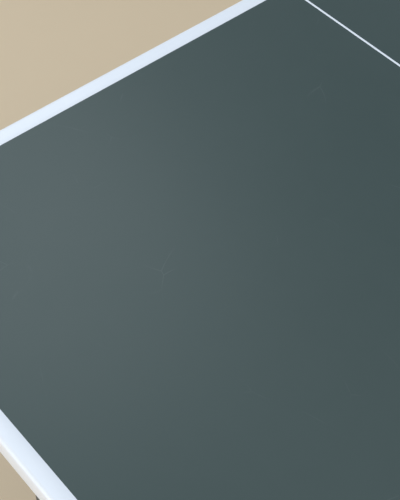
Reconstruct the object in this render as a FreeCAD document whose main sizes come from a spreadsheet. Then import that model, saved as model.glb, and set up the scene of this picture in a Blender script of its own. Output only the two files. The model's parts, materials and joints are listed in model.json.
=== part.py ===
import FreeCAD, Part
import os
import re
import Sketcher

# A roll-away ping pong table of about two thirds of full size.
# Millimetres.  X runs along the table, Y across it, Z up.  The origin is on the floor under the
# middle of the net.  The right half is modelled and mirrored to the left; in the same way what
# stands at the back (+Y) is mirrored to the front.

SIZES = {
    # playing surface
    "half_length": 915.0,
    "half_width": 510.0,
    "surface_height": 760.0,
    "board_thickness": 12.0,
    "centre_gap": 6.0,
    "trim_wall": 1.5,
    "trim_depth": 25.0,
    "trim_lip": 8.0,
    "trim_round": 1.0,
    # steel apron under each half
    "apron_inset": 20.0,
    "apron_width": 20.0,
    "apron_depth": 36.0,
    "tube_wall": 1.5,
    "tube_round": 2.5,
    "stiffener_width": 40.0,
    "stiffener_depth": 10.0,
    # fold linkage, seen from the side
    "pivot_drop": 25.0,
    "hinge_reach": 180.0,
    "axle_inset": 120.0,
    "crank_out": 30.0,
    "crank_down": 60.0,
    "hinge_boss": 11.0,
    "plate_tail": 27.0,
    "bolt_radius": 5.0,
    "bolt_head_radius": 9.0,
    "bolt_head_height": 5.0,
    "stud_radius": 4.0,
    "nut_radius": 7.0,
    "nut_height": 2.5,
    "link_width": 18.0,
    "link_thickness": 5.0,
    "plate_thickness": 4.0,
    # gaps between the layers of the linkage, from the apron inwards
    "link_clear": 4.0,
    "plate_clear": 2.0,
    "leg_clear": 5.0,
    "fit_clear": 0.05,
    "end_play": 0.5,
    # legs
    "leg_width": 40.0,
    "leg_depth": 20.0,
    "leg_rise": 8.0,
    "axle_radius": 9.0,
    "axle_wall": 2.0,
    "axle_end_gap": 2.0,
    "axle_plug": 45.0,
    "crank_boss_wall": 3.0,
    "leg_brace_height": 300.0,
    "leg_brace_depth": 30.0,
    "foot_radius": 18.0,
    "foot_pad": 8.0,
    "foot_cone": 6.0,
    "foot_edge": 1.0,
    "foot_collar": 2.0,
    "foot_screw_radius": 5.0,
    "foot_screw_gap": 8.0,
    "foot_screw_length": 46.0,
    "plug_flange": 3.0,
    "plug_depth": 25.0,
    # trolley
    "base_half_length": 300.0,
    "tube_height": 40.0,
    "tube_width": 25.0,
    "post_depth": 50.0,
    "post_setback": 28.0,
    "post_drop": 45.0,
    "upper_rail_drop": 260.0,
    "cap_thickness": 3.0,
    # beam and sockets that carry the net
    "beam_width": 30.0,
    "beam_drop": 150.0,
    "net_overhang": 102.0,
    "net_height": 102.0,
    "net_lift_gap": 2.0,
    "net_thickness": 1.0,
    "tape_height": 14.0,
    "tape_thickness": 3.0,
    "net_post_radius": 10.0,
    "net_post_wall": 2.0,
    "net_post_rise": 4.0,
    "net_cap_height": 4.0,
    "net_cap_rim": 1.0,
    "socket_floor": 5.0,
    "socket_drop": 13.0,
    "socket_rise": 10.0,
    "knob_radius": 14.0,
    "knob_length": 18.0,
    "knob_stem_radius": 4.0,
    "knob_gap": 5.0,
    "knob_stem_in": 2.5,
    "knob_edge": 2.0,
    "knob_crown": 3.0,
    "knob_flute_radius": 2.5,
    "knob_flute_out": 1.0,
    # storage hooks
    "hook_reach": 45.0,
    "hook_thickness": 6.0,
    "hook_root": 7.0,
    "hook_back": 13.0,
    "hook_tip": 8.5,
    "hook_pin_radius": 3.0,
    "hook_ear": 3.0,
    "hook_ear_boss": 10.0,
    "hook_ear_setback": 4.0,
    "hook_corner": 4.0,
    "hook_nose": 3.0,
    "hook_lead": 2.0,
    "catch_clear": 0.5,
    "striker_radius": 4.0,
    "striker_drop": 14.0,
    "striker_ear": 3.0,
    "striker_half": 12.0,
    "striker_boss": 6.0,
    "striker_offset": 1.0,
    # casters
    "wheel_radius": 37.5,
    "wheel_width": 22.0,
    "hub_radius": 12.0,
    "hub_extra": 0.5,
    "rim_radius": 30.0,
    "web_inset": 3.0,
    "tread_round": 2.0,
    "wheel_axle_radius": 4.0,
    "caster_inset": 40.0,
    "caster_trail": 25.0,
    "crown_clear": 4.0,
    "crown_thickness": 5.0,
    "fork_wall": 3.0,
    "fork_clear": 1.0,
    "fork_nose": 14.0,
    "swivel_radius": 14.0,
    "swivel_height": 11.0,
    "cheek_half": 8.0,
    "cheek_drop": 9.0,
    "cheek_shoulder": 4.0,
    "crown_gap": 2.0,
    "caster_stem_radius": 6.0,
    "caster_stem_rise": 25.0,
    "pedal_radius": 6.0,
    "pedal_pin_radius": 3.0,
    "pedal_reach": 25.0,
    "pedal_length": 34.0,
    "pedal_thickness": 5.0,
    "pedal_tip": 12.0,
    "pedal_toe": 3.0,
    "pedal_toe_under": 2.0,
    "pedal_web": 4.0,
    "shoe_clear": 1.31,
    "shoe_heel": 1.0,
    "shoe_width": 6.0,
    # corners of cut plates, as shares of the boss that they meet
    "flank_across": 0.9,
    "flank_up": 0.43,
    "hinge_top_across": 0.55,
    "hinge_top_up": 0.83,
    "hinge_back_across": 0.97,
    "hinge_back_down": 0.2,
    "ear_corner": 0.7,
    "pedal_boss_side": 0.8,
    "pedal_boss_low": 0.6,
    "pedal_boss_top": 0.7,
}

# Places that follow from the sizes above.
PLACES = {
    "inner_end": "centre_gap / 2",
    "board_in": "inner_end + trim_wall",
    "board_out": "half_length - trim_wall",
    "board_side": "half_width - trim_wall",
    "board_under": "surface_height - board_thickness",
    "trim_low": "surface_height - trim_depth",
    "apron_low": "board_under - apron_depth",
    "rail_out": "half_width - apron_inset",
    "rail_in": "rail_out - apron_width",
    "rail_end_out": "half_length - apron_inset",
    "rail_end_in": "inner_end + apron_inset",
    "pivot_z": "surface_height - pivot_drop",
    "axle_x": "half_length - axle_inset",
    "link_x": "hinge_reach + crank_out",
    "link_z": "pivot_z - crank_down",
    "link_out": "rail_in - link_clear",
    "link_in": "link_out - link_thickness",
    "plate_out": "link_in - plate_clear",
    "plate_in": "plate_out - plate_thickness",
    "post_in": "plate_in - tube_width",
    "post_mid": "plate_in - tube_width / 2",
    "leg_out": "post_in - leg_clear",
    "leg_in": "leg_out - leg_width",
    "leg_mid": "leg_out - leg_width / 2",
    "leg_far": "axle_x + leg_depth",
    "leg_centre": "axle_x + leg_depth / 2",
    "plug_low": "foot_pad + foot_cone + foot_screw_gap",
    "leg_low": "plug_low + plug_flange",
    "post_near": "hinge_reach + post_setback",
    "post_far": "post_near + post_depth",
    "post_centre": "post_near + post_depth / 2",
    "post_top": "surface_height - post_drop",
    "base_height": "crown_top + swivel_height",
    "base_top": "base_height + tube_height",
    "upper_rail_height": "surface_height - upper_rail_drop",
    "upper_top": "upper_rail_height + tube_height",
    "beam_height": "surface_height - beam_drop",
    "beam_top": "beam_height + beam_width",
    "net_post_y": "half_width + net_overhang",
    "socket_in": "net_post_y - beam_width / 2",
    "socket_out": "net_post_y + beam_width / 2",
    "socket_low": "beam_height - socket_drop",
    "net_foot": "socket_low + socket_floor",
    "net_top": "surface_height + net_height",
    "net_side": "net_post_y - net_post_radius",
    "knob_z": "(beam_height + beam_top) / 2",
    "striker_x": "rail_end_in + apron_width / 2 - striker_offset",
    "striker_z": "apron_low - striker_drop",
    "catch_x": "hinge_reach + pivot_z - striker_z",
    "catch_z": "pivot_z + striker_x - hinge_reach",
    "hook_x": "catch_x + hook_reach",
    "caster_x": "base_half_length - caster_inset",
    "wheel_x": "caster_x + caster_trail",
    "crown_low": "2 * wheel_radius + crown_clear",
    "crown_top": "crown_low + crown_thickness",
    "fork_in": "wheel_width / 2 + fork_clear",
    "fork_out": "fork_in + fork_wall",
    "pedal_x": "wheel_x + pedal_reach",
    "pedal_z": "crown_top - pedal_radius",
    "shoe_ahead": "pedal_reach - shoe_heel",
    "shoe_far": "wheel_radius + shoe_clear",
    "shoe_drop": "pedal_z - wheel_radius - sqrt(shoe_far * shoe_far - shoe_ahead * shoe_ahead)",
}

X_AXIS = FreeCAD.Vector(1, 0, 0)
Y_AXIS = FreeCAD.Vector(0, 1, 0)
Z_AXIS = FreeCAD.Vector(0, 0, 1)
QUARTER_TURN = 90
HALF_TURN = 180
FULL_TURN = 360
TURN = {
    "X": FreeCAD.Rotation(Y_AXIS, QUARTER_TURN),
    "Y": FreeCAD.Rotation(X_AXIS, -QUARTER_TURN),
    "Z": FreeCAD.Rotation(),
}
ACROSS = {"X": X_AXIS, "Y": Y_AXIS}
OVERCUT = "1"
NEARLY_ALL = 0.99
SAME_PLACE = 1e-6
KNOB_FLUTES = 8

doc = FreeCAD.newDocument("PingPongTable")
sheet = doc.addObject("Spreadsheet::Sheet", "Sizes")
for row, (alias, value) in enumerate(SIZES.items(), start=1):
    sheet.set(f"A{row}", alias)
    sheet.set(f"B{row}", f"{value:g}")
    sheet.setAlias(f"B{row}", alias)
doc.recompute()

nodes = []


# ---------------------------------------------------------------- expressions

def bound(text):
    """Spell an expression in sheet cells: places are opened up, sizes get the sheet's name."""
    def spell(match):
        word = match.group()
        if word in PLACES:
            return f"({bound(PLACES[word])})"
        return f"Sizes.{word}" if word in SIZES else word
    return re.sub(r"[a-z][a-z_]*", spell, text)


def value_of(text):
    """The number that an expression has now."""
    result = sheet.evalExpression(bound(text))
    return float(getattr(result, "Value", result))


def bind(obj, prop, text):
    obj.setExpression(prop, bound(text))


def place(obj, x="0", y="0", z="0"):
    for letter, text in zip("xyz", (x, y, z)):
        bind(obj, f"Placement.Base.{letter}", text)
    return obj


# ------------------------------------------------------- primitives and booleans

def box(x, y, z):
    """A block between pairs of bounds."""
    obj = doc.addObject("Part::Box", "Block")
    for prop, (low, high) in zip(("Length", "Width", "Height"), (x, y, z)):
        bind(obj, prop, f"({high}) - ({low})")
    return place(obj, x[0], y[0], z[0])


def rod(axis, radius, span, x="0", y="0", z="0"):
    """A cylinder along an axis, between the two bounds in span, through the other two places."""
    obj = doc.addObject("Part::Cylinder", "Rod")
    obj.Placement = FreeCAD.Placement(FreeCAD.Vector(), TURN[axis])
    bind(obj, "Radius", radius)
    bind(obj, "Height", f"({span[1]}) - ({span[0]})")
    start = {"X": x, "Y": y, "Z": z, axis: span[0]}
    return place(obj, start["X"], start["Y"], start["Z"])


def fuse(*parts):
    obj = doc.addObject("Part::MultiFuse", "Joined")
    obj.Shapes = list(parts)
    obj.Refine = True
    return obj


def cut(base, *tools):
    obj = doc.addObject("Part::Cut", "Trimmed")
    obj.Base = base
    obj.Tool = tools[0] if len(tools) == 1 else fuse(*tools)
    return obj


def group(*parts):
    obj = doc.addObject("Part::Compound", "Set")
    obj.Links = list(parts)
    return obj


def mirror(source, axis):
    obj = doc.addObject("Part::Mirroring", "Mirrored")
    obj.Source = source
    obj.Normal = ACROSS[axis]
    return obj


def rounded(source, radius, wanted):
    """Round the edges of a solid that the test picks."""
    doc.recompute()
    size = value_of(radius)
    obj = doc.addObject("Part::Fillet", "Rounded")
    obj.Base = source
    edges = enumerate(source.Shape.Edges, start=1)
    obj.Edges = [(number, size, size) for number, edge in edges if wanted(edge)]
    return obj


def along(axis):
    """A test for edges that run along an axis."""
    index = "XYZ".index(axis)

    def test(edge):
        first, last = edge.Vertexes[0].Point, edge.Vertexes[-1].Point
        return abs(last[index] - first[index]) > NEARLY_ALL * edge.Length > 0
    return test


def tube(axis, x, y, z, wall="tube_wall"):
    """A rectangular steel tube with rounded corners, open at both ends."""
    inner = []
    for letter, (low, high) in zip("XYZ", (x, y, z)):
        sign = "-" if letter == axis else "+"
        step = OVERCUT if letter == axis else wall
        back = "+" if letter == axis else "-"
        inner.append((f"({low}) {sign} {step}", f"({high}) {back} {step}"))
    outer = rounded(box(x, y, z), "tube_round", along(axis))
    return cut(outer, box(*inner))


# ---------------------------------------------------------------- sketched bodies

def body(name):
    return doc.addObject("PartDesign::Body", name)


def sketch(owner, role):
    obj = owner.newObject("Sketcher::SketchObject", "Outline")
    plane = [item for item in owner.Origin.OriginFeatures if item.Role == role][0]
    obj.AttachmentSupport = [(plane, "")]
    obj.MapMode = "FlatFace"
    return obj


def pin_down(outline, item, vertex, across, up):
    """Hold one vertex of a sketch at two bound distances from its origin."""
    for kind, text in (("DistanceX", across), ("DistanceY", up)):
        rule = Sketcher.Constraint(kind, -1, 1, item, vertex, value_of(text))
        index = outline.addConstraint(rule)
        bind(outline, f"Constraints[{index}]", text)


def polygon(outline, corners):
    """Draw a closed outline through corners given as pairs of expressions."""
    spots = [FreeCAD.Vector(value_of(a), value_of(b), 0) for a, b in corners]
    first = outline.GeometryCount
    count = len(corners)
    for index in range(count):
        line = Part.LineSegment(spots[index], spots[(index + 1) % count])
        outline.addGeometry(line, False)
    for index in range(count):
        follower = first + (index + 1) % count
        outline.addConstraint(Sketcher.Constraint("Coincident", first + index, 2, follower, 1))
    for index, (across, up) in enumerate(corners):
        pin_down(outline, first + index, 1, across, up)


def circle(outline, across, up, radius):
    centre = FreeCAD.Vector(value_of(across), value_of(up), 0)
    item = outline.addGeometry(Part.Circle(centre, Z_AXIS, value_of(radius)), False)
    pin_down(outline, item, 3, across, up)
    index = outline.addConstraint(Sketcher.Constraint("Radius", item, value_of(radius)))
    bind(outline, f"Constraints[{index}]", radius)


def pad(owner, outline, length, reverse=False, both_ways=False):
    obj = owner.newObject("PartDesign::Pad", "Pad")
    obj.Profile = outline
    obj.Reversed = reverse
    obj.SideType = "Symmetric" if both_ways else "One side"
    bind(obj, "Length", length)
    return obj


def pocket_through(owner, outline):
    """Cut a sketch right through the body, and make sure that it took something away."""
    doc.recompute()
    before = owner.Shape.Volume
    obj = owner.newObject("PartDesign::Pocket", "Pocket")
    obj.Profile = outline
    obj.Type = "ThroughAll"
    obj.SideType = "Symmetric"
    doc.recompute()
    if owner.Shape.Volume >= before:
        raise RuntimeError(f"the pocket in {owner.Name} cuts nothing")
    return obj


def turned(name, role, corners):
    """A body turned about its own upright sketch axis from corners given as radius, height."""
    owner = body(name)
    outline = sketch(owner, role)
    polygon(outline, corners)
    obj = owner.newObject("PartDesign::Revolution", "Turning")
    obj.Profile = outline
    obj.ReferenceAxis = (outline, ["V_Axis"])
    obj.Angle = FULL_TURN
    return owner


# ---------------------------------------------------------------- nodes

def node(label, obj):
    obj.Label = label
    nodes.append(obj)
    return obj


def front_and_back(obj):
    return group(obj, mirror(obj, "Y"))


def all_corners(obj):
    pair = front_and_back(obj)
    return group(pair, mirror(pair, "X"))


def both_halves(label, obj):
    node(f"{label}_right", obj)
    node(f"{label}_left", mirror(obj, "X"))


def moved(source, x, y, z, turn):
    """A copy of a piece drawn about its own origin, turned about Z and put in place."""
    obj = group(source)
    obj.Placement = FreeCAD.Placement(FreeCAD.Vector(), FreeCAD.Rotation(Z_AXIS, turn))
    return place(obj, x, y, z)


def each_caster(label, source, x="caster_x", z="0"):
    """Copies for the four casters; those on the left trail the other way."""
    node(f"{label}_back_right", moved(source, x, "post_mid", z, 0))
    node(f"{label}_front_right", moved(source, x, "-post_mid", z, 0))
    node(f"{label}_back_left", moved(source, f"-({x})", "post_mid", z, HALF_TURN))
    node(f"{label}_front_left", moved(source, f"-({x})", "-post_mid", z, HALF_TURN))


def each_corner(label, obj):
    front = mirror(obj, "Y")
    node(f"{label}_back_right", obj)
    node(f"{label}_front_right", front)
    node(f"{label}_back_left", mirror(obj, "X"))
    node(f"{label}_front_left", mirror(front, "X"))


# ---------------------------------------------------------------- table halves

def top_panel():
    both_halves("top_panel", box(("board_in", "board_out"), ("-board_side", "board_side"),
                                 ("board_under", "surface_height")))


def trim_strip(length_axis, x, y, lip_x, lip_y):
    """One edge strip: an upright wall with a lip turned in under it, rounded on top outside."""
    wall = box(x, y, ("trim_low", "surface_height"))
    lip = box(lip_x, lip_y, ("trim_low", "trim_low + trim_wall"))
    strip = fuse(wall, lip)
    top = value_of("surface_height")
    flat = 1 if length_axis == "X" else 0
    outside = max(abs(value_of(edge)) for edge in (y if flat else x))
    if value_of(x[0]) == value_of("inner_end") and not flat:
        outside = value_of("inner_end")
    runs = along(length_axis)

    def outer_top(edge):
        spot = edge.Vertexes[0].Point
        on_top = abs(spot.z - top) < SAME_PLACE
        return runs(edge) and on_top and abs(abs(spot[flat]) - outside) < SAME_PLACE
    return rounded(strip, "trim_round", outer_top)


def edge_trim():
    ends = ("inner_end", "half_length")
    side = trim_strip("X", ends, ("board_side", "half_width"),
                      ends, ("board_side - trim_lip", "board_side"))
    across = ("-board_side", "board_side")
    lip_across = ("trim_lip - board_side", "board_side - trim_lip")
    outer = trim_strip("Y", ("board_out", "half_length"), across,
                       ("board_out - trim_lip", "board_out"), lip_across)
    inner = trim_strip("Y", ("inner_end", "board_in"), across,
                       ("board_in", "board_in + trim_lip"), lip_across)
    both_halves("edge_trim", group(side, mirror(side, "Y"), outer, inner))


def side_rails():
    rail = tube("X", ("rail_end_in", "rail_end_out"), ("rail_in", "rail_out"),
                ("apron_low", "board_under"))
    reach = (f"rail_in - {OVERCUT}", f"rail_out + {OVERCUT}")
    holes = [rod("Y", "bolt_radius + fit_clear", reach, x=x, z="pivot_z")
             for x in ("hinge_reach", "axle_x")]
    both_halves("side_rails", front_and_back(cut(rail, *holes)))


def end_rails():
    rails = [tube("Y", x, ("-rail_in", "rail_in"), ("apron_low", "board_under"))
             for x in (("rail_end_in", "rail_end_in + apron_width"),
                       ("rail_end_out - apron_width", "rail_end_out"))]
    both_halves("end_rails", group(*rails))


def stiffener():
    """A shallow channel under the board, from the inner end rail to just short of the axle."""
    both_halves("stiffener", tube(
        "X", ("rail_end_in + apron_width", "axle_x - axle_radius - apron_width / 2"),
        ("-stiffener_width / 2", "stiffener_width / 2"),
        ("board_under - stiffener_depth", "board_under")))


def pivot_bolt(x, tip):
    shank = rod("Y", "bolt_radius", (tip, "rail_out"), x=x, z="pivot_z")
    head = rod("Y", "bolt_head_radius", ("rail_out", "rail_out + bolt_head_height"),
               x=x, z="pivot_z")
    return fuse(shank, head)


def ring(x, z, outer, bore, low, high):
    """A nut, washer or spacer about a pivot."""
    return cut(rod("Y", outer, (low, high), x=x, z=z),
               rod("Y", bore, (f"{low} - {OVERCUT}", f"{high} + {OVERCUT}"), x=x, z=z))


def pivot_bolts():
    """The bolts that a half turns on, with spacer and nut, and those that its legs turn on."""
    nut_out = "plate_in - end_play"
    nut_in = f"{nut_out} - bolt_head_height"
    hinge = fuse(pivot_bolt("hinge_reach", nut_in),
                 rod("Y", "bolt_head_radius", (nut_in, nut_out), x="hinge_reach", z="pivot_z"))
    spacer = ring("hinge_reach", "pivot_z", "bolt_head_radius", "bolt_radius + fit_clear",
                  "plate_out + end_play", "rail_in")
    axle = pivot_bolt("axle_x", "rail_in - axle_plug")
    both_halves("pivot_bolts", front_and_back(group(hinge, spacer, axle)))


def striker():
    """The small fork and pin under the inner end rail that the storage hook catches."""
    owner = body("StrikerEar")
    outline = sketch(owner, "XZ_Plane")
    half = "striker_boss"
    polygon(outline, [(f"-{half}", "striker_drop"), (f"-{half}", "0"),
                      (f"-{half} / 2", f"-{half}"), (f"{half} / 2", f"-{half}"),
                      (half, "0"), (half, "striker_drop")])
    circle(outline, "0", "0", "striker_radius + fit_clear")
    pad(owner, outline, "striker_ear")
    place(owner, "striker_x", "striker_half + striker_ear", "striker_z")
    pin = rod("Y", "striker_radius", ("-striker_half - striker_ear", "striker_half + striker_ear"),
              x="striker_x", z="striker_z")
    both_halves("striker", group(owner, mirror(owner, "Y"), pin))


# ---------------------------------------------------------------- leg frames

def leg_axle():
    """The cross tube that the legs hang on, with a bored plug in each end."""
    end = "rail_in - axle_end_gap"
    bar = rod("Y", "axle_radius", (f"-({end})", end), x="axle_x", z="pivot_z")
    hollow_end = f"{end} - axle_plug"
    hollow = rod("Y", "axle_radius - axle_wall", (f"-({hollow_end})", hollow_end),
                 x="axle_x", z="pivot_z")
    bore = rod("Y", "bolt_radius + fit_clear", (f"-({end}) - {OVERCUT}", f"{end} + {OVERCUT}"),
               x="axle_x", z="pivot_z")
    both_halves("leg_axle", cut(bar, hollow, bore))


def leg_tubes():
    leg = tube("Z", ("axle_x", "leg_far"), ("leg_in", "leg_out"),
               ("leg_low", "pivot_z + leg_rise"))
    notch = rod("Y", "axle_radius + fit_clear",
                (f"leg_in - {OVERCUT}", f"leg_out + {OVERCUT}"), x="axle_x", z="pivot_z")
    both_halves("leg_tubes", front_and_back(cut(leg, notch)))


def leg_brace():
    both_halves("leg_brace", tube(
        "Y", ("axle_x", "leg_far"), ("-leg_in", "leg_in"),
        ("leg_brace_height", "leg_brace_height + leg_brace_depth")))


def plate_with_arm(name, root_corners, boss_radius, hole_radius):
    """A linkage plate about the main pivot, with the stud of the second pivot standing out.

    The plate's own origin is the main pivot; the stud is one crank arm out and down.
    """
    owner = body(name)
    outline = sketch(owner, "XZ_Plane")
    polygon(outline, root_corners)
    pad(owner, outline, "plate_thickness")
    for across, up, radius in (("0", "0", boss_radius),
                               ("crank_out", "-crank_down", "link_width / 2")):
        boss = sketch(owner, "XZ_Plane")
        circle(boss, across, up, radius)
        pad(owner, boss, "plate_thickness")
    stud = sketch(owner, "XZ_Plane")
    circle(stud, "crank_out", "-crank_down", "stud_radius")
    pad(owner, stud, "link_out + end_play + nut_height - plate_out", reverse=True)
    bore = sketch(owner, "XZ_Plane")
    circle(bore, "0", "0", hole_radius)
    pocket_through(owner, bore)
    return owner


def stud_nut(x):
    return ring(x, "link_z", "nut_radius", "stud_radius + fit_clear",
                "link_out + end_play", "link_out + end_play + nut_height")


def crank_plates():
    """Plates welded on the leg axle; their studs carry the far ends of the link bars."""
    boss = "(crank_boss_wall + axle_radius)"
    end = "link_width / 2"
    corners = [(f"{boss} * flank_across", f"{boss} * flank_up"),
               (f"-{boss} * flank_across", f"-{boss} * flank_up"),
               (f"crank_out - {end} * flank_across", f"-crank_down - {end} * flank_up"),
               (f"crank_out + {end} * flank_across", f"-crank_down + {end} * flank_up")]
    plate = plate_with_arm("CrankPlate", corners, boss, "axle_radius + fit_clear")
    place(plate, "axle_x", "plate_out", "pivot_z")
    both_halves("crank_plates", front_and_back(group(plate, stud_nut("axle_x + crank_out"))))


def leg_plugs():
    """The inserts in the leg ends that the feet screw into."""
    hollow = [("axle_x + tube_wall", "leg_far - tube_wall"),
              ("leg_in + tube_wall", "leg_out - tube_wall")]
    flange = rounded(box(("axle_x", "leg_far"), ("leg_in", "leg_out"), ("plug_low", "leg_low")),
                     "tube_round", along("Z"))
    insert = box(hollow[0], hollow[1], ("leg_low", "leg_low + plug_depth"))
    bore = rod("Z", "foot_screw_radius + fit_clear",
               (f"plug_low - {OVERCUT}", f"leg_low + plug_depth + {OVERCUT}"),
               x="leg_centre", y="leg_mid")
    both_halves("leg_plugs", front_and_back(cut(fuse(flange, insert), bore)))


def feet():
    """Screw feet: a round pad, a cone and the screw."""
    top = "foot_pad + foot_cone"
    tip = f"{top} + foot_screw_length"
    foot = turned("Foot", "XZ_Plane", [
        ("0", "0"), ("foot_radius - foot_edge", "0"), ("foot_radius", "foot_edge"),
        ("foot_radius", "foot_pad"), ("foot_screw_radius + foot_collar", top),
        ("foot_screw_radius", top), ("foot_screw_radius", tip), ("0", tip)])
    each_corner("foot", place(foot, "leg_centre", "leg_mid", "0"))


def link_bars():
    """Flat bars that keep the legs upright while a half folds."""
    span = ("link_in", "link_out")
    far = "axle_x + crank_out"
    ends = [rod("Y", "link_width / 2", span, x=x, z="link_z") for x in ("link_x", far)]
    bar = box(("link_x", far), span, ("link_z - link_width / 2", "link_z + link_width / 2"))
    reach = (f"link_in - {OVERCUT}", f"link_out + {OVERCUT}")
    holes = [rod("Y", "stud_radius + fit_clear", reach, x=x, z="link_z") for x in ("link_x", far)]
    both_halves("link_bars", front_and_back(cut(fuse(bar, *ends), *holes)))


# ---------------------------------------------------------------- trolley

def base_rails():
    rail = tube("X", ("-base_half_length", "base_half_length"), ("post_in", "plate_in"),
                ("base_height", "base_top"))
    holes = [rod("Z", "caster_stem_radius + fit_clear",
                 (f"base_height - {OVERCUT}", "base_height + caster_stem_rise"),
                 x=x, y="post_mid") for x in ("caster_x", "-caster_x")]
    node("base_rails", front_and_back(cut(rail, *holes)))


def trolley_posts():
    post = tube("Z", ("post_near", "post_far"), ("post_in", "plate_in"), ("base_top", "post_top"))
    node("trolley_posts", all_corners(post))


def trolley_rails():
    node("upper_rails", front_and_back(tube(
        "X", ("-post_near", "post_near"), ("post_in", "plate_in"),
        ("upper_rail_height", "upper_top"))))
    across = ("post_centre - tube_width / 2", "post_centre + tube_width / 2")
    pieces = [tube("Y", across, ("-post_in", "post_in"), (low, f"{low} + tube_height"))
              for low in ("upper_rail_height", "base_height")]
    pieces += [mirror(piece, "X") for piece in pieces]
    node("cross_tubes", group(*pieces))


def trolley_caps():
    """Plastic caps on the ends of the base rails and on the posts."""
    end = rounded(box(("base_half_length", "base_half_length + cap_thickness"),
                      ("post_in", "plate_in"), ("base_height", "base_top")),
                  "tube_round", along("X"))
    top = rounded(box(("post_near", "post_far"), ("post_in", "plate_in"),
                      ("post_top", "post_top + cap_thickness")), "tube_round", along("Z"))
    node("trolley_caps", all_corners(group(end, top)))


def hinge_plates():
    """Plates on the posts that the halves hinge on, with a stud for each link bar."""
    foot_near = "post_near - hinge_reach"
    foot_far = "post_far - hinge_reach"
    low = "-crank_down - plate_tail"
    high = "post_top - pivot_z"
    corners = [("hinge_boss * hinge_top_across", "hinge_boss * hinge_top_up"),
               ("-hinge_boss * hinge_back_across", "-hinge_boss * hinge_back_down"),
               (foot_near, low), (foot_far, low), (foot_far, high), (foot_near, high)]
    plate = plate_with_arm("HingePlate", corners, "hinge_boss", "bolt_radius + fit_clear")
    place(plate, "hinge_reach", "plate_out", "pivot_z")
    node("hinge_plates", all_corners(group(plate, stud_nut("link_x"))))


def net_carrier():
    """Short posts on the upper rails, the beam across them and a socket on each end of it."""
    half = "beam_width / 2"
    stub = tube("Z", (f"-{half}", half), ("post_in", "plate_in"), ("upper_top", "beam_height"))
    beam = tube("Y", (f"-{half}", half), ("-socket_in", "socket_in"), ("beam_height", "beam_top"))
    node("net_beam", group(beam, front_and_back(stub)))
    block = rounded(box((f"-{half}", half), ("socket_in", "socket_out"),
                        ("socket_low", "beam_top + socket_rise")), "tube_round", along("Z"))
    bore = rod("Z", "net_post_radius + fit_clear",
               ("net_foot", f"beam_top + socket_rise + {OVERCUT}"), y="net_post_y")
    screw = rod("Y", "knob_stem_radius + fit_clear",
                ("net_post_y", f"socket_out + {OVERCUT}"), z="knob_z")
    node("net_sockets", front_and_back(cut(block, bore, screw)))


def hook_brackets():
    """Two ears and a pin on each upper cross tube, which a storage hook turns on."""
    owner = body("HookEar")
    outline = sketch(owner, "XZ_Plane")
    tube_in = "post_centre - tube_width / 2 - hook_x"
    tube_out = "post_centre + tube_width / 2 - hook_x"
    seat = "upper_top - catch_z"
    boss = "hook_ear_boss"
    corner = f"{boss} * ear_corner"
    polygon(outline, [(f"{tube_in} + hook_ear_setback", seat), (tube_out, seat),
                      (corner, f"-{corner}"), (boss, "0"), (corner, corner), ("0", boss),
                      (f"-{corner}", corner), (f"-{boss}", "0")])
    circle(outline, "0", "0", "hook_pin_radius + fit_clear")
    pad(owner, outline, "hook_ear")
    ear_out = "hook_thickness / 2 + end_play + hook_ear"
    place(owner, "hook_x", ear_out, "catch_z")
    pin = rod("Y", "hook_pin_radius", (f"-({ear_out})", ear_out), x="hook_x", z="catch_z")
    one = group(owner, mirror(owner, "Y"), pin)
    node("hook_brackets", group(one, mirror(one, "X")))


def storage_hooks():
    """Hooks parked upright; turned a quarter inwards their notch drops over the striker pin."""
    owner = body("Hook")
    outline = sketch(owner, "XZ_Plane")
    notch = "striker_radius + catch_clear"
    near, far = f"hook_reach - ({notch})", f"hook_reach + {notch}"
    tip = f"{far} + hook_tip"
    polygon(outline, [("-hook_root", "-hook_root / 2"), ("-hook_root / 2", "-hook_root"),
                      ("hook_root / 2", "-hook_root"), ("hook_back", "0"),
                      ("hook_back", f"{tip} - hook_corner"), ("hook_back - hook_corner", tip),
                      ("hook_corner - hook_root", tip), ("-hook_root", f"{tip} - hook_nose"),
                      ("-hook_root", f"{far} + hook_lead"), ("hook_lead - hook_root", far),
                      (notch, far), (notch, near), ("-hook_root", near)])
    circle(outline, "0", "0", "hook_pin_radius + fit_clear")
    pad(owner, outline, "hook_thickness", both_ways=True)
    both_halves("storage_hook", place(owner, "hook_x", "0", "catch_z"))


# ---------------------------------------------------------------- net set

def net_set():
    post = cut(rod("Z", "net_post_radius", ("net_foot", "net_top + net_post_rise"), y="net_post_y"),
               rod("Z", "net_post_radius - net_post_wall",
                   (f"net_foot - {OVERCUT}", f"net_top + net_post_rise + {OVERCUT}"),
                   y="net_post_y"))
    node("net_posts", front_and_back(post))
    cap_low = "net_top + net_post_rise"
    cap = rod("Z", "net_post_radius + net_cap_rim", (cap_low, f"{cap_low} + net_cap_height"),
              y="net_post_y")
    node("net_post_caps", front_and_back(cap))
    across = ("-net_side", "net_side")
    tape_low = "net_top - tape_height"
    node("net_mesh", box(("-net_thickness / 2", "net_thickness / 2"), across,
                         ("surface_height + net_lift_gap", tape_low)))
    node("net_tape", box(("-tape_thickness / 2", "tape_thickness / 2"), across,
                         (tape_low, "net_top")))


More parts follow.
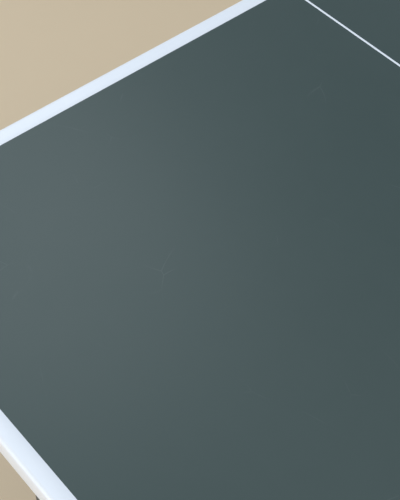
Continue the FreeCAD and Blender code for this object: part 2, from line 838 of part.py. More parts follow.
def net_knobs():
    """Clamp screws with fluted heads, one in each net socket."""
    owner = body("Knob")
    outline = sketch(owner, "XY_Plane")
    head_low = "knob_gap"
    head_top = f"{head_low} + knob_length"
    polygon(outline, [("0", "-knob_stem_in"), ("knob_stem_radius", "-knob_stem_in"),
                      ("knob_stem_radius", head_low), ("knob_radius - knob_edge", head_low),
                      ("knob_radius", f"{head_low} + knob_edge"),
                      ("knob_radius", f"{head_top} - knob_crown"),
                      ("knob_radius - knob_crown", head_top), ("0", head_top)])
    turning = owner.newObject("PartDesign::Revolution", "Turning")
    turning.Profile = outline
    turning.ReferenceAxis = (outline, ["V_Axis"])
    turning.Angle = FULL_TURN
    flute = sketch(owner, "XZ_Plane")
    circle(flute, "knob_radius + knob_flute_out", "0", "knob_flute_radius")
    cutter = pocket_through(owner, flute)
    pattern = owner.newObject("PartDesign::PolarPattern", "Flutes")
    pattern.Originals = [cutter]
    pattern.Axis = (flute, ["N_Axis"])
    pattern.Angle = FULL_TURN
    pattern.Occurrences = KNOB_FLUTES
    owner.Tip = pattern
    place(owner, "0", "socket_out", "knob_z")
    node("net_knob_back", owner)
    node("net_knob_front", mirror(owner, "Y"))


# ---------------------------------------------------------------- casters

def caster_forks():
    """Swivelling forks: crown, two cheeks, bearing and stem, with the axle and the pedal pin."""
    cheek = body("ForkCheek")
    outline = sketch(cheek, "XZ_Plane")
    low = "wheel_radius - cheek_drop"
    tail = "caster_trail + pedal_reach + pedal_radius"
    polygon(outline, [("-fork_nose", "crown_top"), ("-fork_nose", "crown_low - cheek_shoulder"),
                      ("caster_trail - cheek_half", low), ("caster_trail + cheek_half", low),
                      (tail, "pedal_z - cheek_shoulder"), (tail, "crown_top")])
    circle(outline, "caster_trail", "wheel_radius", "wheel_axle_radius + fit_clear")
    circle(outline, "caster_trail + pedal_reach", "pedal_z", "pedal_pin_radius + fit_clear")
    pad(cheek, outline, "fork_wall")
    place(cheek, "0", "fork_out", "0")
    crown = box(("-fork_nose", "caster_trail + pedal_reach - pedal_radius - crown_gap"),
                ("-fork_in", "fork_in"), ("crown_low", "crown_top"))
    bearing = rod("Z", "swivel_radius", ("crown_top", "base_height - end_play"))
    stem = rod("Z", "caster_stem_radius", ("crown_top", "base_height + caster_stem_rise"))
    fork = fuse(cheek, mirror(cheek, "Y"), crown, bearing, stem)
    axle_ends = (("wheel_axle_radius", "-(fork_out)", "fork_out"),
                 ("nut_radius", "fork_out", "fork_out + nut_height"),
                 ("nut_radius", "-(fork_out) - nut_height", "-(fork_out)"))
    axle = fuse(*[rod("Y", radius, (low, high), x="caster_trail", z="wheel_radius")
                  for radius, low, high in axle_ends])
    pin = rod("Y", "pedal_pin_radius", ("-fork_out", "fork_out"),
              x="caster_trail + pedal_reach", z="pedal_z")
    each_caster("caster_fork", group(fork, axle, pin))


def caster_wheels():
    half, hub = "wheel_width / 2", "wheel_width / 2 + hub_extra"
    web = f"{half} - web_inset"
    side = [("hub_radius", hub), ("hub_radius", web), ("rim_radius", web), ("rim_radius", half),
            ("wheel_radius - tread_round", half), ("wheel_radius", f"{half} - tread_round")]
    bore = "wheel_axle_radius + fit_clear"
    upper = [(bore, hub)] + side
    lower = [(radius, f"-({height})") for radius, height in reversed(upper)]
    wheel = turned("Wheel", "XY_Plane", upper + lower)
    each_caster("caster_wheel", wheel, x="wheel_x", z="wheel_radius")


def brake_pedals():
    """Pedals on the forks; pressed down they turn a shoe against the wheel."""
    owner = body("Pedal")
    outline = sketch(owner, "XZ_Plane")
    polygon(outline, [("0", "pedal_radius"), ("pedal_length - pedal_tip", "pedal_radius"),
                      ("pedal_length - pedal_tip / 2", "pedal_radius + pedal_toe"),
                      ("pedal_length", "pedal_radius + pedal_toe"),
                      ("pedal_length", "pedal_radius - pedal_toe_under"),
                      ("pedal_length - pedal_tip", "pedal_radius - pedal_thickness"),
                      ("shoe_width - shoe_heel", "pedal_radius - pedal_thickness - pedal_web"),
                      ("shoe_width - shoe_heel", "-shoe_drop"), ("-shoe_heel", "-shoe_drop"),
                      ("-pedal_radius * pedal_boss_side", "-pedal_radius * pedal_boss_low"),
                      ("-pedal_radius", "0"),
                      ("-pedal_radius * pedal_boss_top", "pedal_radius * pedal_boss_top")])
    circle(outline, "0", "0", "pedal_pin_radius + fit_clear")
    pad(owner, outline, "wheel_width", both_ways=True)
    each_caster("brake_pedal", owner, x="pedal_x", z="pedal_z")


# ---------------------------------------------------------------- build and write

def failed(obj):
    return any(word in obj.State for word in ("Invalid", "Error"))


def check():
    """Refuse to write anything unless every feature is sound."""
    bad = [obj.Label for obj in doc.Objects if failed(obj)]
    bad += [obj.Label for obj in nodes
            if obj.Shape.isNull() or not obj.Shape.isValid() or not obj.Shape.Solids]
    if bad:
        raise RuntimeError(f"features that failed: {bad}")


def main():
    for build in (top_panel, edge_trim, side_rails, end_rails, stiffener, pivot_bolts, striker,
                  leg_axle, leg_tubes, leg_brace, crank_plates, leg_plugs, feet, link_bars,
                  base_rails, trolley_posts, trolley_rails, trolley_caps, hinge_plates,
                  net_carrier, hook_brackets, storage_hooks, net_set, net_knobs,
                  caster_forks, caster_wheels, brake_pedals):
        build()
    doc.recompute()
    check()
    os.makedirs("parts", exist_ok=True)
    for obj in nodes:
        obj.Shape.exportStep(os.path.join("parts", f"{obj.Label}.step"))
    print(f"{len(nodes)} nodes written")


main()
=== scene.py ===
"""Looks of a compact roll-away ping pong table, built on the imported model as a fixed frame."""

import json
import logging
import math
import random
from dataclasses import dataclass, field
from enum import Enum
from typing import Callable

import bmesh
import bpy
from mathutils import Matrix, Vector

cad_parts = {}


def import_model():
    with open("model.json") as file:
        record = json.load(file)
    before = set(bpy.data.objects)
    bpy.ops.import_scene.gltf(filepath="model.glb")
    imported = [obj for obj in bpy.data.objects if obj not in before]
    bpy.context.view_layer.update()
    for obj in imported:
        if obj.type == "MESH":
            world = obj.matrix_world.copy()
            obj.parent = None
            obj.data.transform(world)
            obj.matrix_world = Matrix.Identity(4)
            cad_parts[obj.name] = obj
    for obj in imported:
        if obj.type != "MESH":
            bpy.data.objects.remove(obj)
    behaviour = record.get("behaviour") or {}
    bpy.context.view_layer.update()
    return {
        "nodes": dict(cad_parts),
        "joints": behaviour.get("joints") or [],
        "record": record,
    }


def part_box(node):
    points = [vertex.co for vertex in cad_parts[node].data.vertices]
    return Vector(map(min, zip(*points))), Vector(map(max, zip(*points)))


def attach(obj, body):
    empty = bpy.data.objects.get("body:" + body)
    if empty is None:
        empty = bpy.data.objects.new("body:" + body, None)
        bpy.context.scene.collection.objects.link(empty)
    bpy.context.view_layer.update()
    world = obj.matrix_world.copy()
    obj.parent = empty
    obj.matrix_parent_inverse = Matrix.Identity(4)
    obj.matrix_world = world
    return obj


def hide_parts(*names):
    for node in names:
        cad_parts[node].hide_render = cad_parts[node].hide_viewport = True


log = logging.getLogger("table")

# Radius of a turned body where it ends on its axis.
POINTED = 1e-5
# How far a bead's path runs inside the end of the tube that it closes off.
BEAD_SUNK = 0.0004
# Half sizes of the beads' paths round each kind of tube, just under the tube's own.
APRON_BEAD = (0.0178, 0.0098)
STIFFENER_BEAD = (0.0198, 0.0046)
BRACE_BEAD = (0.0148, 0.0098)
POST_BEAD = (0.0248, 0.0123)
UPPER_RAIL_BEAD = (0.0123, 0.0198)
CROSS_TUBE_BEAD = (0.0198, 0.0123)
STUB_BEAD = (0.0148, 0.0123)
BEAM_BEAD = (0.0148, 0.0148)
# Half sizes of the trolley's tubes: a post's along X and Y, and a rail's height.
POST_HALF_X = 0.025
POST_HALF_Y = 0.0125
RAIL_HALF = 0.020
# From the edge of a plate or the end of a link bar to its stud.
STUD_INSET = 0.009

Point = tuple[float, float, float]
Colour = tuple[float, float, float]


class Side(Enum):
    """The two halves of the table, by the sign of X."""

    RIGHT = 1
    LEFT = -1

    @property
    def word(self) -> str:
        """The side's name as the nodes spell it."""
        return self.name.lower()


class Row(Enum):
    """Front and back of the table, by the sign of Y."""

    BACK = 1
    FRONT = -1

    @property
    def word(self) -> str:
        """The row's name as the nodes spell it."""
        return self.name.lower()


class Axis(Enum):
    """The three axes, by index."""

    X = 0
    Y = 1
    Z = 2

    def unit(self) -> Vector:
        """The unit vector along the axis."""
        return Vector([float(index == self.value) for index in range(3)])

    def across(self) -> tuple[Vector, Vector]:
        """The unit vectors along the next two axes."""
        return Axis((self.value + 1) % 3).unit(), Axis((self.value + 2) % 3).unit()


class Pattern(Enum):
    """The kinds of relief that a finish can carry."""

    GRAIN = "Fine grain"
    ORANGE_PEEL = "Orange peel"
    WEAVE = "Weave"
    BRUSHED = "Brushed"


# ---------------------------------------------------------------- effects shared by finishes


def add_node(tree: bpy.types.NodeTree, kind: str, inputs: dict,
             **settings: object) -> bpy.types.Node:
    """Add a shader node to a tree.

    Args:
        tree: the node tree.
        kind: the node's type, without the prefix that all of them share.
        inputs: a value, or a socket to link, for each input by its name or number.
        settings: the node's own settings.

    Returns:
        The new node.
    """
    node = tree.nodes.new(f"ShaderNode{kind}")
    for label, value in settings.items():
        setattr(node, label, value)
    for label, value in inputs.items():
        if isinstance(value, bpy.types.NodeSocket):
            tree.links.new(value, node.inputs[label])
        else:
            node.inputs[label].default_value = value
    return node


class Effects:
    """The shader node groups that several finishes use, each built once."""

    def __init__(self) -> None:
        """Build every group."""
        self.mottle = self._mottle()
        self.wear = self._wear()
        self.scuffs = self._scuffs()
        self.relief = {
            Pattern.GRAIN: self._relief("Fine grain", 1900.0, 4.0, (1, 1, 1)),
            Pattern.ORANGE_PEEL: self._relief("Orange peel", 620.0, 1.5, (1, 1, 1)),
            Pattern.BRUSHED: self._relief("Brushed", 900.0, 3.0, (0.06, 1, 1)),
            Pattern.WEAVE: self._weave(),
        }

    @staticmethod
    def _new(name: str, inputs: dict[str, float], outputs: tuple[str, ...]) -> tuple:
        """Start a node group.

        Args:
            name: the group's name.
            inputs: number inputs and their defaults; a Vector input always comes first.
            outputs: the names of the number outputs.

        Returns:
            The tree, its input node and its output node.
        """
        tree = bpy.data.node_groups.new(name, "ShaderNodeTree")
        tree.interface.new_socket(name="Vector", in_out="INPUT", socket_type="NodeSocketVector")
        for label, value in inputs.items():
            socket = tree.interface.new_socket(
                name=label, in_out="INPUT", socket_type="NodeSocketFloat")
            socket.default_value = value
        for label in outputs:
            tree.interface.new_socket(name=label, in_out="OUTPUT", socket_type="NodeSocketFloat")
        return tree, tree.nodes.new("NodeGroupInput"), tree.nodes.new("NodeGroupOutput")

    @staticmethod
    def _noise(tree: bpy.types.NodeTree, vector: bpy.types.NodeSocket, scale: float,
               detail: float = 2.0) -> bpy.types.Node:
        """Add a noise texture that reads a vector socket."""
        return add_node(tree, "TexNoise", {"Vector": vector, "Scale": scale, "Detail": detail})

    @staticmethod
    def _ramp(tree: bpy.types.NodeTree, value: bpy.types.NodeSocket, low: float,
              high: float) -> bpy.types.NodeSocket:
        """Stretch a value between two limits to a mask from 0 to 1."""
        return add_node(tree, "MapRange", {"Value": value, "From Min": low,
                                           "From Max": high}).outputs["Result"]

    @staticmethod
    def _math(tree: bpy.types.NodeTree, kind: str, first: object,
              second: object) -> bpy.types.NodeSocket:
        """Combine two numbers or sockets with one Math node, held between 0 and 1."""
        return add_node(tree, "Math", {0: first, 1: second}, operation=kind,
                        use_clamp=True).outputs[0]

    def _scaled(self, tree: bpy.types.NodeTree, start: bpy.types.Node,
                stretch: Point = (1.0, 1.0, 1.0)) -> bpy.types.NodeSocket:
        """The group's Vector times its Scale, with a fixed stretch for each axis."""
        first = add_node(tree, "VectorMath", {0: start.outputs["Vector"], 1: stretch},
                         operation="MULTIPLY")
        return add_node(tree, "VectorMath", {0: first.outputs[0], "Scale": start.outputs["Scale"]},
                        operation="SCALE").outputs[0]

    def _mottle(self) -> bpy.types.NodeTree:
        """Slow uneven tone: two sizes of noise mixed into one mask."""
        tree, start, end = self._new("Mottle", {"Scale": 1.0, "Contrast": 1.0}, ("Mask",))
        vector = self._scaled(tree, start)
        broad = self._noise(tree, vector, 2.2, 3.0)
        fine = self._noise(tree, vector, 23.0, 5.0)
        mixed = self._math(tree, "ADD", self._math(tree, "MULTIPLY", broad.outputs[0], 0.6),
                           self._math(tree, "MULTIPLY", fine.outputs[0], 0.4))
        shift = add_node(tree, "Math", {0: mixed, 1: 0.5}, operation="SUBTRACT")
        centred = add_node(tree, "Math", {0: shift.outputs[0], 1: start.outputs["Contrast"],
                                          2: 0.5}, operation="MULTIPLY_ADD", use_clamp=True)
        tree.links.new(centred.outputs[0], end.inputs["Mask"])
        return tree

    def _wear(self) -> bpy.types.NodeTree:
        """Rubbed edges: where the surface is sharpest, broken up by noise."""
        tree, start, end = self._new("Edge wear", {"Scale": 1.0, "Amount": 0.5}, ("Mask",))
        vector = self._scaled(tree, start)
        geometry = add_node(tree, "NewGeometry", {})
        edge = self._ramp(tree, geometry.outputs["Pointiness"], 0.59, 0.68)
        broken = self._ramp(tree, self._noise(tree, vector, 90.0, 6.0).outputs[0], 0.50, 0.62)
        mask = self._math(tree, "MULTIPLY", self._math(tree, "MULTIPLY", edge, broken),
                          start.outputs["Amount"])
        tree.links.new(mask, end.inputs["Mask"])
        return tree

    def _scuffs(self) -> bpy.types.NodeTree:
        """Light handling marks: thin curved scratches and scattered specks."""
        tree, start, end = self._new("Scuffs", {"Scale": 1.0, "Amount": 0.3},
                                     ("Mask", "Specks"))
        vector = self._scaled(tree, start)
        bent = self._noise(tree, vector, 1.7, 2.0)
        shift = add_node(tree, "VectorMath", {0: bent.outputs["Color"], 1: (0.3, 0.3, 0.3),
                                              2: vector}, operation="MULTIPLY_ADD")
        cells = add_node(tree, "TexVoronoi", {"Scale": 2.6, "Vector": shift.outputs[0]},
                         feature="DISTANCE_TO_EDGE")
        line = self._ramp(tree, cells.outputs["Distance"], 0.006, 0.0)
        patch = self._ramp(tree, self._noise(tree, vector, 4.5, 3.0).outputs[0], 0.56, 0.68)
        scratch = self._math(tree, "MULTIPLY", line, patch)
        dots = add_node(tree, "TexVoronoi", {"Scale": 16.0, "Vector": vector})
        near = self._ramp(tree, dots.outputs["Distance"], 0.03, 0.015)
        few = self._ramp(tree, self._noise(tree, vector, 9.0, 2.0).outputs[0], 0.6, 0.66)
        speck = self._math(tree, "MULTIPLY", near, few)
        for value, label in ((scratch, "Mask"), (speck, "Specks")):
            tree.links.new(self._math(tree, "MULTIPLY", value, start.outputs["Amount"]),
                           end.inputs[label])
        return tree

    def _relief(self, name: str, scale: float, detail: float,
                stretch: Point) -> bpy.types.NodeTree:
        """A surface relief from noise at one scale, stretched along an axis if asked."""
        tree, start, end = self._new(name, {"Scale": 1.0}, ("Height",))
        vector = self._scaled(tree, start, stretch)
        noise = self._noise(tree, vector, scale, detail)
        tree.links.new(noise.outputs[0], end.inputs["Height"])
        return tree

    def _weave(self) -> bpy.types.NodeTree:
        """Plain weave: two crossed trains of threads that pass over and under."""
        tree, start, end = self._new("Weave", {"Scale": 1.0}, ("Height",))
        vector = self._scaled(tree, start)
        trains = [add_node(tree, "TexWave", {"Vector": vector, "Scale": 380.0,
                                             "Distortion": 0.6},
                           bands_direction=direction).outputs["Fac"]
                  for direction in ("Y", "Z")]
        high = add_node(tree, "Math", dict(enumerate(trains)), operation="MAXIMUM")
        tree.links.new(high.outputs[0], end.inputs["Height"])
        return tree


# ---------------------------------------------------------------- finishes


@dataclass(frozen=True)
class Finish:
    """A surface finish and the numbers that make its material."""

    name: str
    slot: str
    colour: Colour
    second: Colour
    roughness: tuple[float, float]
    metallic: float = 0.0
    pattern: Pattern = Pattern.GRAIN
    pattern_scale: float = 1.0
    relief_mm: float = 0.01
    mottle_scale: float = 1.0
    contrast: float = 2.0
    worn: Colour = (0.3, 0.3, 0.3)
    wear: float = 0.0
    scuff: Colour = (0.5, 0.5, 0.5)
    scuffing: float = 0.0
    scuff_scale: float = 5.0
    coat: float = 0.0
    sheen: float = 0.0
    specular: float = 0.5

    def material(self, effects: Effects) -> bpy.types.Material:
        """Make the finish's material.

        Args:
            effects: the shared node groups.

        Returns:
            The new material.
        """
        made = bpy.data.materials.new(self.name)
        made.use_nodes = True
        tree = made.node_tree
        shader = tree.nodes["Principled BSDF"]
        for label, value in (("Metallic", self.metallic), ("Coat Weight", self.coat),
                             ("Coat Roughness", 0.25), ("Sheen Weight", self.sheen),
                             ("Specular IOR Level", self.specular)):
            shader.inputs[label].default_value = value
        place = add_node(tree, "TexCoord", {}).outputs["Object"]
        mottle = self._use(tree, effects.mottle, place, Scale=self.mottle_scale,
                           Contrast=self.contrast).outputs["Mask"]
        wear = self._use(tree, effects.wear, place, Amount=self.wear).outputs["Mask"]
        scuffs = self._use(tree, effects.scuffs, place, Scale=self.scuff_scale,
                           Amount=self.scuffing)
        relief = self._use(tree, effects.relief[self.pattern], place,
                           Scale=self.pattern_scale).outputs["Height"]
        colour = self._mix(tree, mottle, self.colour, self.second)
        colour = self._mix(tree, scuffs.outputs["Mask"], colour, self.scuff)
        colour = self._mix(tree, scuffs.outputs["Specks"], colour, self.scuff)
        colour = self._mix(tree, wear, colour, self.worn)
        tree.links.new(colour, shader.inputs["Base Color"])
        rough = add_node(tree, "MapRange", {"Value": mottle, "To Min": self.roughness[0],
                                            "To Max": self.roughness[1]})
        tree.links.new(rough.outputs["Result"], shader.inputs["Roughness"])
        bump = add_node(tree, "Bump", {"Height": relief, "Strength": 0.6,
                                       "Distance": self.relief_mm / 1000})
        tree.links.new(bump.outputs["Normal"], shader.inputs["Normal"])
        return made

    @staticmethod
    def _use(tree: bpy.types.NodeTree, group: bpy.types.NodeTree,
             place: bpy.types.NodeSocket, **values: float) -> bpy.types.Node:
        """Place a shared group in the material with its own values."""
        return add_node(tree, "Group", {"Vector": place, **values}, node_tree=group)

    @staticmethod
    def _mix(tree: bpy.types.NodeTree, mask: bpy.types.NodeSocket, under: object,
             over: Colour) -> bpy.types.NodeSocket:
        """Lay one colour over another by a mask."""
        if not isinstance(under, bpy.types.NodeSocket):
            under = (*under, 1.0)
        return add_node(tree, "Mix", {"Factor": mask, "A": under, "B": (*over, 1.0)},
                        data_type="RGBA").outputs["Result"]


class Coat(Enum):
    """Every finish on the table."""

    PLAYING = Finish("Playing surface", "board", (0.036, 0.058, 0.057), (0.042, 0.066, 0.065),
                     (0.40, 0.50), relief_mm=0.012, pattern_scale=0.8, mottle_scale=3.0,
                     contrast=1.3, scuff=(0.15, 0.17, 0.17), scuffing=0.22, specular=0.3)
    UNDERSIDE = Finish("Board underside", "board", (0.035, 0.037, 0.036), (0.06, 0.058, 0.052),
                       (0.7, 0.85), relief_mm=0.04, mottle_scale=6.0, contrast=3.0)
    LINES = Finish("Line paint", "trim", (0.695, 0.735, 0.80), (0.67, 0.71, 0.775),
                   (0.38, 0.5), relief_mm=0.012, mottle_scale=9.0, contrast=1.6,
                   scuff=(0.5, 0.53, 0.55), scuffing=0.2)
    TRIM = Finish("White edge coating", "trim", (0.72, 0.745, 0.79), (0.695, 0.72, 0.76),
                  (0.3, 0.42), pattern=Pattern.ORANGE_PEEL, relief_mm=0.01, mottle_scale=7.0,
                  worn=(0.5, 0.5, 0.48), wear=0.25, scuff=(0.5, 0.5, 0.5), scuffing=0.25)
    POWDER = Finish("Charcoal powder coat", "frame", (0.029, 0.032, 0.035),
                    (0.032, 0.035, 0.038), (0.455, 0.485), pattern=Pattern.ORANGE_PEEL,
                    relief_mm=0.03, mottle_scale=4.0, contrast=1.0, worn=(0.2, 0.2, 0.2),
                    wear=0.08, scuff=(0.10, 0.10, 0.10), scuffing=0.3, scuff_scale=9.0)
    LINKAGE = Finish("Grey plate coat", "linkage", (0.075, 0.081, 0.087), (0.09, 0.096, 0.10),
                     (0.38, 0.42), pattern=Pattern.ORANGE_PEEL, relief_mm=0.02,
                     mottle_scale=6.0, contrast=1.2, worn=(0.32, 0.32, 0.31), wear=0.8,
                     scuff=(0.22, 0.22, 0.22), scuffing=0.35, scuff_scale=11.0)
    ZINC = Finish("Zinc plating", "bright", (0.58, 0.59, 0.60), (0.50, 0.49, 0.45),
                  (0.24, 0.42), metallic=1.0, pattern=Pattern.BRUSHED, relief_mm=0.012,
                  mottle_scale=30.0, contrast=3.0, worn=(0.7, 0.7, 0.7), wear=0.5)
    PRESSED = Finish("Pressed zinc steel", "fork", (0.52, 0.53, 0.54), (0.43, 0.43, 0.41),
                     (0.28, 0.46), metallic=1.0, relief_mm=0.02, mottle_scale=22.0,
                     contrast=3.0, worn=(0.68, 0.68, 0.68), wear=0.5)
    PLASTIC = Finish("Black moulding", "black_plastic", (0.013, 0.0135, 0.014),
                     (0.02, 0.0205, 0.021), (0.45, 0.6), relief_mm=0.03, mottle_scale=14.0,
                     worn=(0.06, 0.06, 0.06), wear=0.5)
    SOLE = Finish("Foot rubber", "foot", (0.018, 0.018, 0.019), (0.03, 0.029, 0.028),
                  (0.65, 0.85), relief_mm=0.05, mottle_scale=20.0, contrast=3.0)
    TYRE = Finish("Grey tread", "wheel", (0.055, 0.057, 0.06), (0.085, 0.083, 0.08),
                  (0.6, 0.8), relief_mm=0.05, mottle_scale=18.0, contrast=3.0,
                  worn=(0.13, 0.125, 0.115), wear=0.5)
    HUB = Finish("Hub moulding", "wheel", (0.16, 0.165, 0.17), (0.19, 0.195, 0.20),
                 (0.4, 0.55), relief_mm=0.03, mottle_scale=14.0)
    PEDAL = Finish("Red pedal", "pedal", (0.36, 0.028, 0.02), (0.42, 0.04, 0.028),
                   (0.38, 0.52), relief_mm=0.03, mottle_scale=18.0, worn=(0.5, 0.16, 0.12),
                   wear=0.6)
    POST = Finish("Net post coat", "net_post", (0.03, 0.033, 0.036), (0.035, 0.038, 0.041),
                  (0.36, 0.41), pattern=Pattern.ORANGE_PEEL, relief_mm=0.02,
                  mottle_scale=8.0, contrast=1.2, worn=(0.22, 0.22, 0.22), wear=0.6,
                  scuff=(0.10, 0.10, 0.10), scuffing=0.25, scuff_scale=12.0)
    CORD = Finish("Net cord", "net", (0.02, 0.026, 0.03), (0.035, 0.043, 0.048),
                  (0.75, 0.9), pattern=Pattern.WEAVE, pattern_scale=2.0, relief_mm=0.05,
                  mottle_scale=40.0, contrast=3.0, sheen=0.2)
    TAPE = Finish("White cotton tape", "tape", (0.76, 0.76, 0.73), (0.68, 0.68, 0.65),
                  (0.8, 0.95), pattern=Pattern.WEAVE, relief_mm=0.12, mottle_scale=16.0,
                  contrast=2.0, sheen=0.25)
    THREAD = Finish("Sewing thread", "tape", (0.62, 0.62, 0.60), (0.5, 0.5, 0.48),
                    (0.7, 0.85), pattern=Pattern.WEAVE, pattern_scale=3.0, relief_mm=0.05)
    FLOOR = Finish("Plain floor", "board", (0.54, 0.43, 0.295), (0.57, 0.455, 0.315),
                   (0.6, 0.7), relief_mm=0.05, mottle_scale=0.6, contrast=1.0)


class Paintbox:
    """Makes each finish's material the first time it is asked for."""

    def __init__(self) -> None:
        """Build the shared effects."""
        self.effects = Effects()
        self.made: dict[Coat, bpy.types.Material] = {}

    def get(self, coat: Coat) -> bpy.types.Material:
        """The material of a finish."""
        if coat not in self.made:
            self.made[coat] = coat.value.material(self.effects)
        return self.made[coat]


# ---------------------------------------------------------------- mesh work


def rounded_outline(half_a: float, half_b: float, radius: float, steps: int = 4) -> list:
    """The points of a rounded rectangle about its own middle, anticlockwise.

    Args:
        half_a: half its size across.
        half_b: half its size up.
        radius: the corner radius.
        steps: segments in each corner.

    Returns:
        A list of (across, up) pairs.
    """
    points = []
    for turn, (sign_a, sign_b) in enumerate(((1, 1), (-1, 1), (-1, -1), (1, -1))):
        for step in range(steps + 1):
            angle = math.pi / 2 * (turn + step / steps)
            points.append((sign_a * (half_a - radius) + radius * math.cos(angle),
                           sign_b * (half_b - radius) + radius * math.sin(angle)))
    return points


class Piece:
    """A mesh in the making, with its finish and the body that it rides on."""

    def __init__(self, name: str, body: str, coat: Coat) -> None:
        """Start an empty piece.

        Args:
            name: the object's name.
            body: the moving body it rides on.
            coat: its main finish.
        """
        self.name = name
        self.body = body
        self.coats = [coat]
        self.bm = bmesh.new()
        self.slot_index = 0

    def paint(self, coat: Coat) -> "Piece":
        """Give everything added from now on another finish."""
        if coat not in self.coats:
            self.coats.append(coat)
        self.slot_index = self.coats.index(coat)
        return self

    def face(self, corners: list) -> None:
        """Add one face in the current finish."""
        made = self.bm.faces.new(corners)
        made.material_index = self.slot_index

    def loft(self, rings: list[list[Vector]], looped: bool = False) -> "Piece":
        """Skin a row of rings with quads.

        Args:
            rings: rings of points, all of one length.
            looped: whether the last ring joins the first; if not, both ends are filled.
        """
        rows = [[self.bm.verts.new(point) for point in ring] for ring in rings]
        count = len(rows[0])
        for low, high in zip(rows, rows[1:] + (rows[:1] if looped else [])):
            for index in range(count):
                after = (index + 1) % count
                self.face([low[index], low[after], high[after], high[index]])
        if not looped:
            self.face(list(reversed(rows[0])))
            self.face(rows[-1])
        return self

    def block(self, low: Vector, high: Vector, bevel: float, segments: int) -> "Piece":
        """A block with rounded edges.

        Args:
            low: its lowest corner.
            high: its highest corner.
            bevel: how far the rounding reaches.
            segments: segments of the rounding.
        """
        made = bmesh.ops.create_cube(self.bm, size=1.0)["verts"]
        middle = (low + high) / 2
        size = high - low
        for vert in made:
            vert.co = Vector([vert.co[i] * size[i] for i in range(3)]) + middle
        edges = list({edge for vert in made for edge in vert.link_edges})
        faces = {face for vert in made for face in vert.link_faces}
        result = bmesh.ops.bevel(self.bm, geom=edges, offset=bevel, segments=segments,
                                 affect="EDGES", profile=0.5)
        faces |= set(result["faces"])
        for face in faces:
            if face.is_valid:
                face.material_index = self.slot_index
        return self

    def turned(self, axis: Axis, centre: Point, profile: list[tuple[float, float]],
               steps: int = 36, flip: int = 1, hexed: tuple[int, ...] = (),
               wobble: Callable[[float, float], float] | None = None) -> "Piece":
        """A body turned about an axis.

        Args:
            axis: the axis of turning.
            centre: a point on the axis; heights are measured from it.
            profile: (radius, height) pairs from one end to the other; a closed solid starts
                and ends on the axis.
            steps: segments round.
            flip: -1 to measure heights the other way.
            hexed: which profile points are hexagons, whose radius is to their flats.
            wobble: an optional function of angle and height that scales the radius.
        """
        first, second = axis.across()
        rings = []
        for place, (radius, height) in enumerate(profile):
            ring = []
            for step in range(steps):
                angle = 2 * math.pi * step / steps
                reach = max(radius, POINTED) * (wobble(angle, height) if wobble else 1.0)
                if place in hexed:
                    reach /= math.cos(angle % (math.pi / 3) - math.pi / 6)
                ring.append(Vector(centre) + axis.unit() * height * flip
                            + first * reach * math.cos(angle) + second * reach * math.sin(angle))
            rings.append(ring)
        return self.loft(rings)

    def tube_along(self, path: list[Vector], radius: float, sides: int = 6,
                   closed: bool = False,
                   swell: Callable[[int], float] | None = None) -> "Piece":
        """A round tube along a path.

        Args:
            path: the points of its middle line.
            radius: its radius.
            sides: sides of its section.
            closed: whether the path closes on itself.
            swell: an optional function of the point's number that scales the radius.
        """
        rings = []
        count = len(path)
        for index, point in enumerate(path):
            before = path[index - 1] if index or closed else point
            after = path[(index + 1) % count] if index < count - 1 or closed else point
            along = (after - before).normalized()
            side = along.orthogonal().normalized() if abs(along.z) > 0.95 else (
                along.cross(Vector((0, 0, 1))).normalized())
            up = side.cross(along).normalized()
            reach = radius * (swell(index) if swell else 1.0)
            rings.append([point + side * reach * math.cos(2 * math.pi * k / sides)
                          + up * reach * math.sin(2 * math.pi * k / sides)
                          for k in range(sides)])
        return self.loft(rings, looped=closed)

    def done(self, paints: Paintbox, stands_for: tuple[str, ...] = (),
             crease: float = 38.0) -> bpy.types.Object:
        """Turn the piece into an object that rides on its body.

        Args:
            paints: where its materials come from.
            stands_for: the model's nodes that it replaces.
            crease: edges sharper than this angle, in degrees, stay sharp.

        Returns:
            The new object.
        """
        bmesh.ops.recalc_face_normals(self.bm, faces=self.bm.faces)
        mesh = bpy.data.meshes.new(self.name)
        self.bm.to_mesh(mesh)
        self.bm.free()
        for coat in self.coats:
            mesh.materials.append(paints.get(coat))
        mesh.shade_smooth()
        mesh.set_sharp_from_angle(angle=math.radians(crease))
        made = bpy.data.objects.new(self.name, mesh)
        bpy.context.scene.collection.objects.link(made)
        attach(made, self.body)
        if stands_for:
            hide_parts(*stands_for)
        log.info("%s rides on %s, %d faces", self.name, self.body, len(mesh.polygons))
        return made


def hoops(centre: Vector, section: list[tuple[float, float]], steps: int) -> list:
    """Rings about an axis along Y, one for each (radius, height) pair of a section."""
    turns = [turn * math.pi / (steps / 2) for turn in range(steps)]
    return [[centre + Vector((radius * math.cos(turn), height, radius * math.sin(turn)))
             for turn in turns] for radius, height in section]


def weld_bead(piece: Piece, centre: Point, axis: Axis, half: tuple[float, float],
              size: float = 0.0016, ripple: float = 0.0011) -> None:
    """A rippled weld round a rectangular tube where it meets another piece.

    Args:
        piece: the piece that collects the beads.
        centre: the middle of the joint.
        axis: the tube's own axis.
        half: half the bead's path along the next axis, and along the one after.
        size: the bead's radius.
        ripple: the distance from one point of the path to the next.
    """
    first, second = axis.across()
    corner, swell = 0.0025, 0.16
    outline = rounded_outline(*half, corner, 3)
    path = []
    for (a, b), (c, d) in zip(outline, outline[1:] + outline[:1]):
        pieces = max(1, round(math.hypot(c - a, d - b) / ripple))
        for step in range(pieces):
            share = step / pieces
            path.append(Vector(centre) + first * (a + (c - a) * share)
                        + second * (b + (d - b) * share))
    piece.tube_along(path, size, 6, closed=True,
                     swell=lambda index: 1.0 + swell * math.cos(index * 2 * math.pi / 3))


# ---------------------------------------------------------------- the frame's own nodes


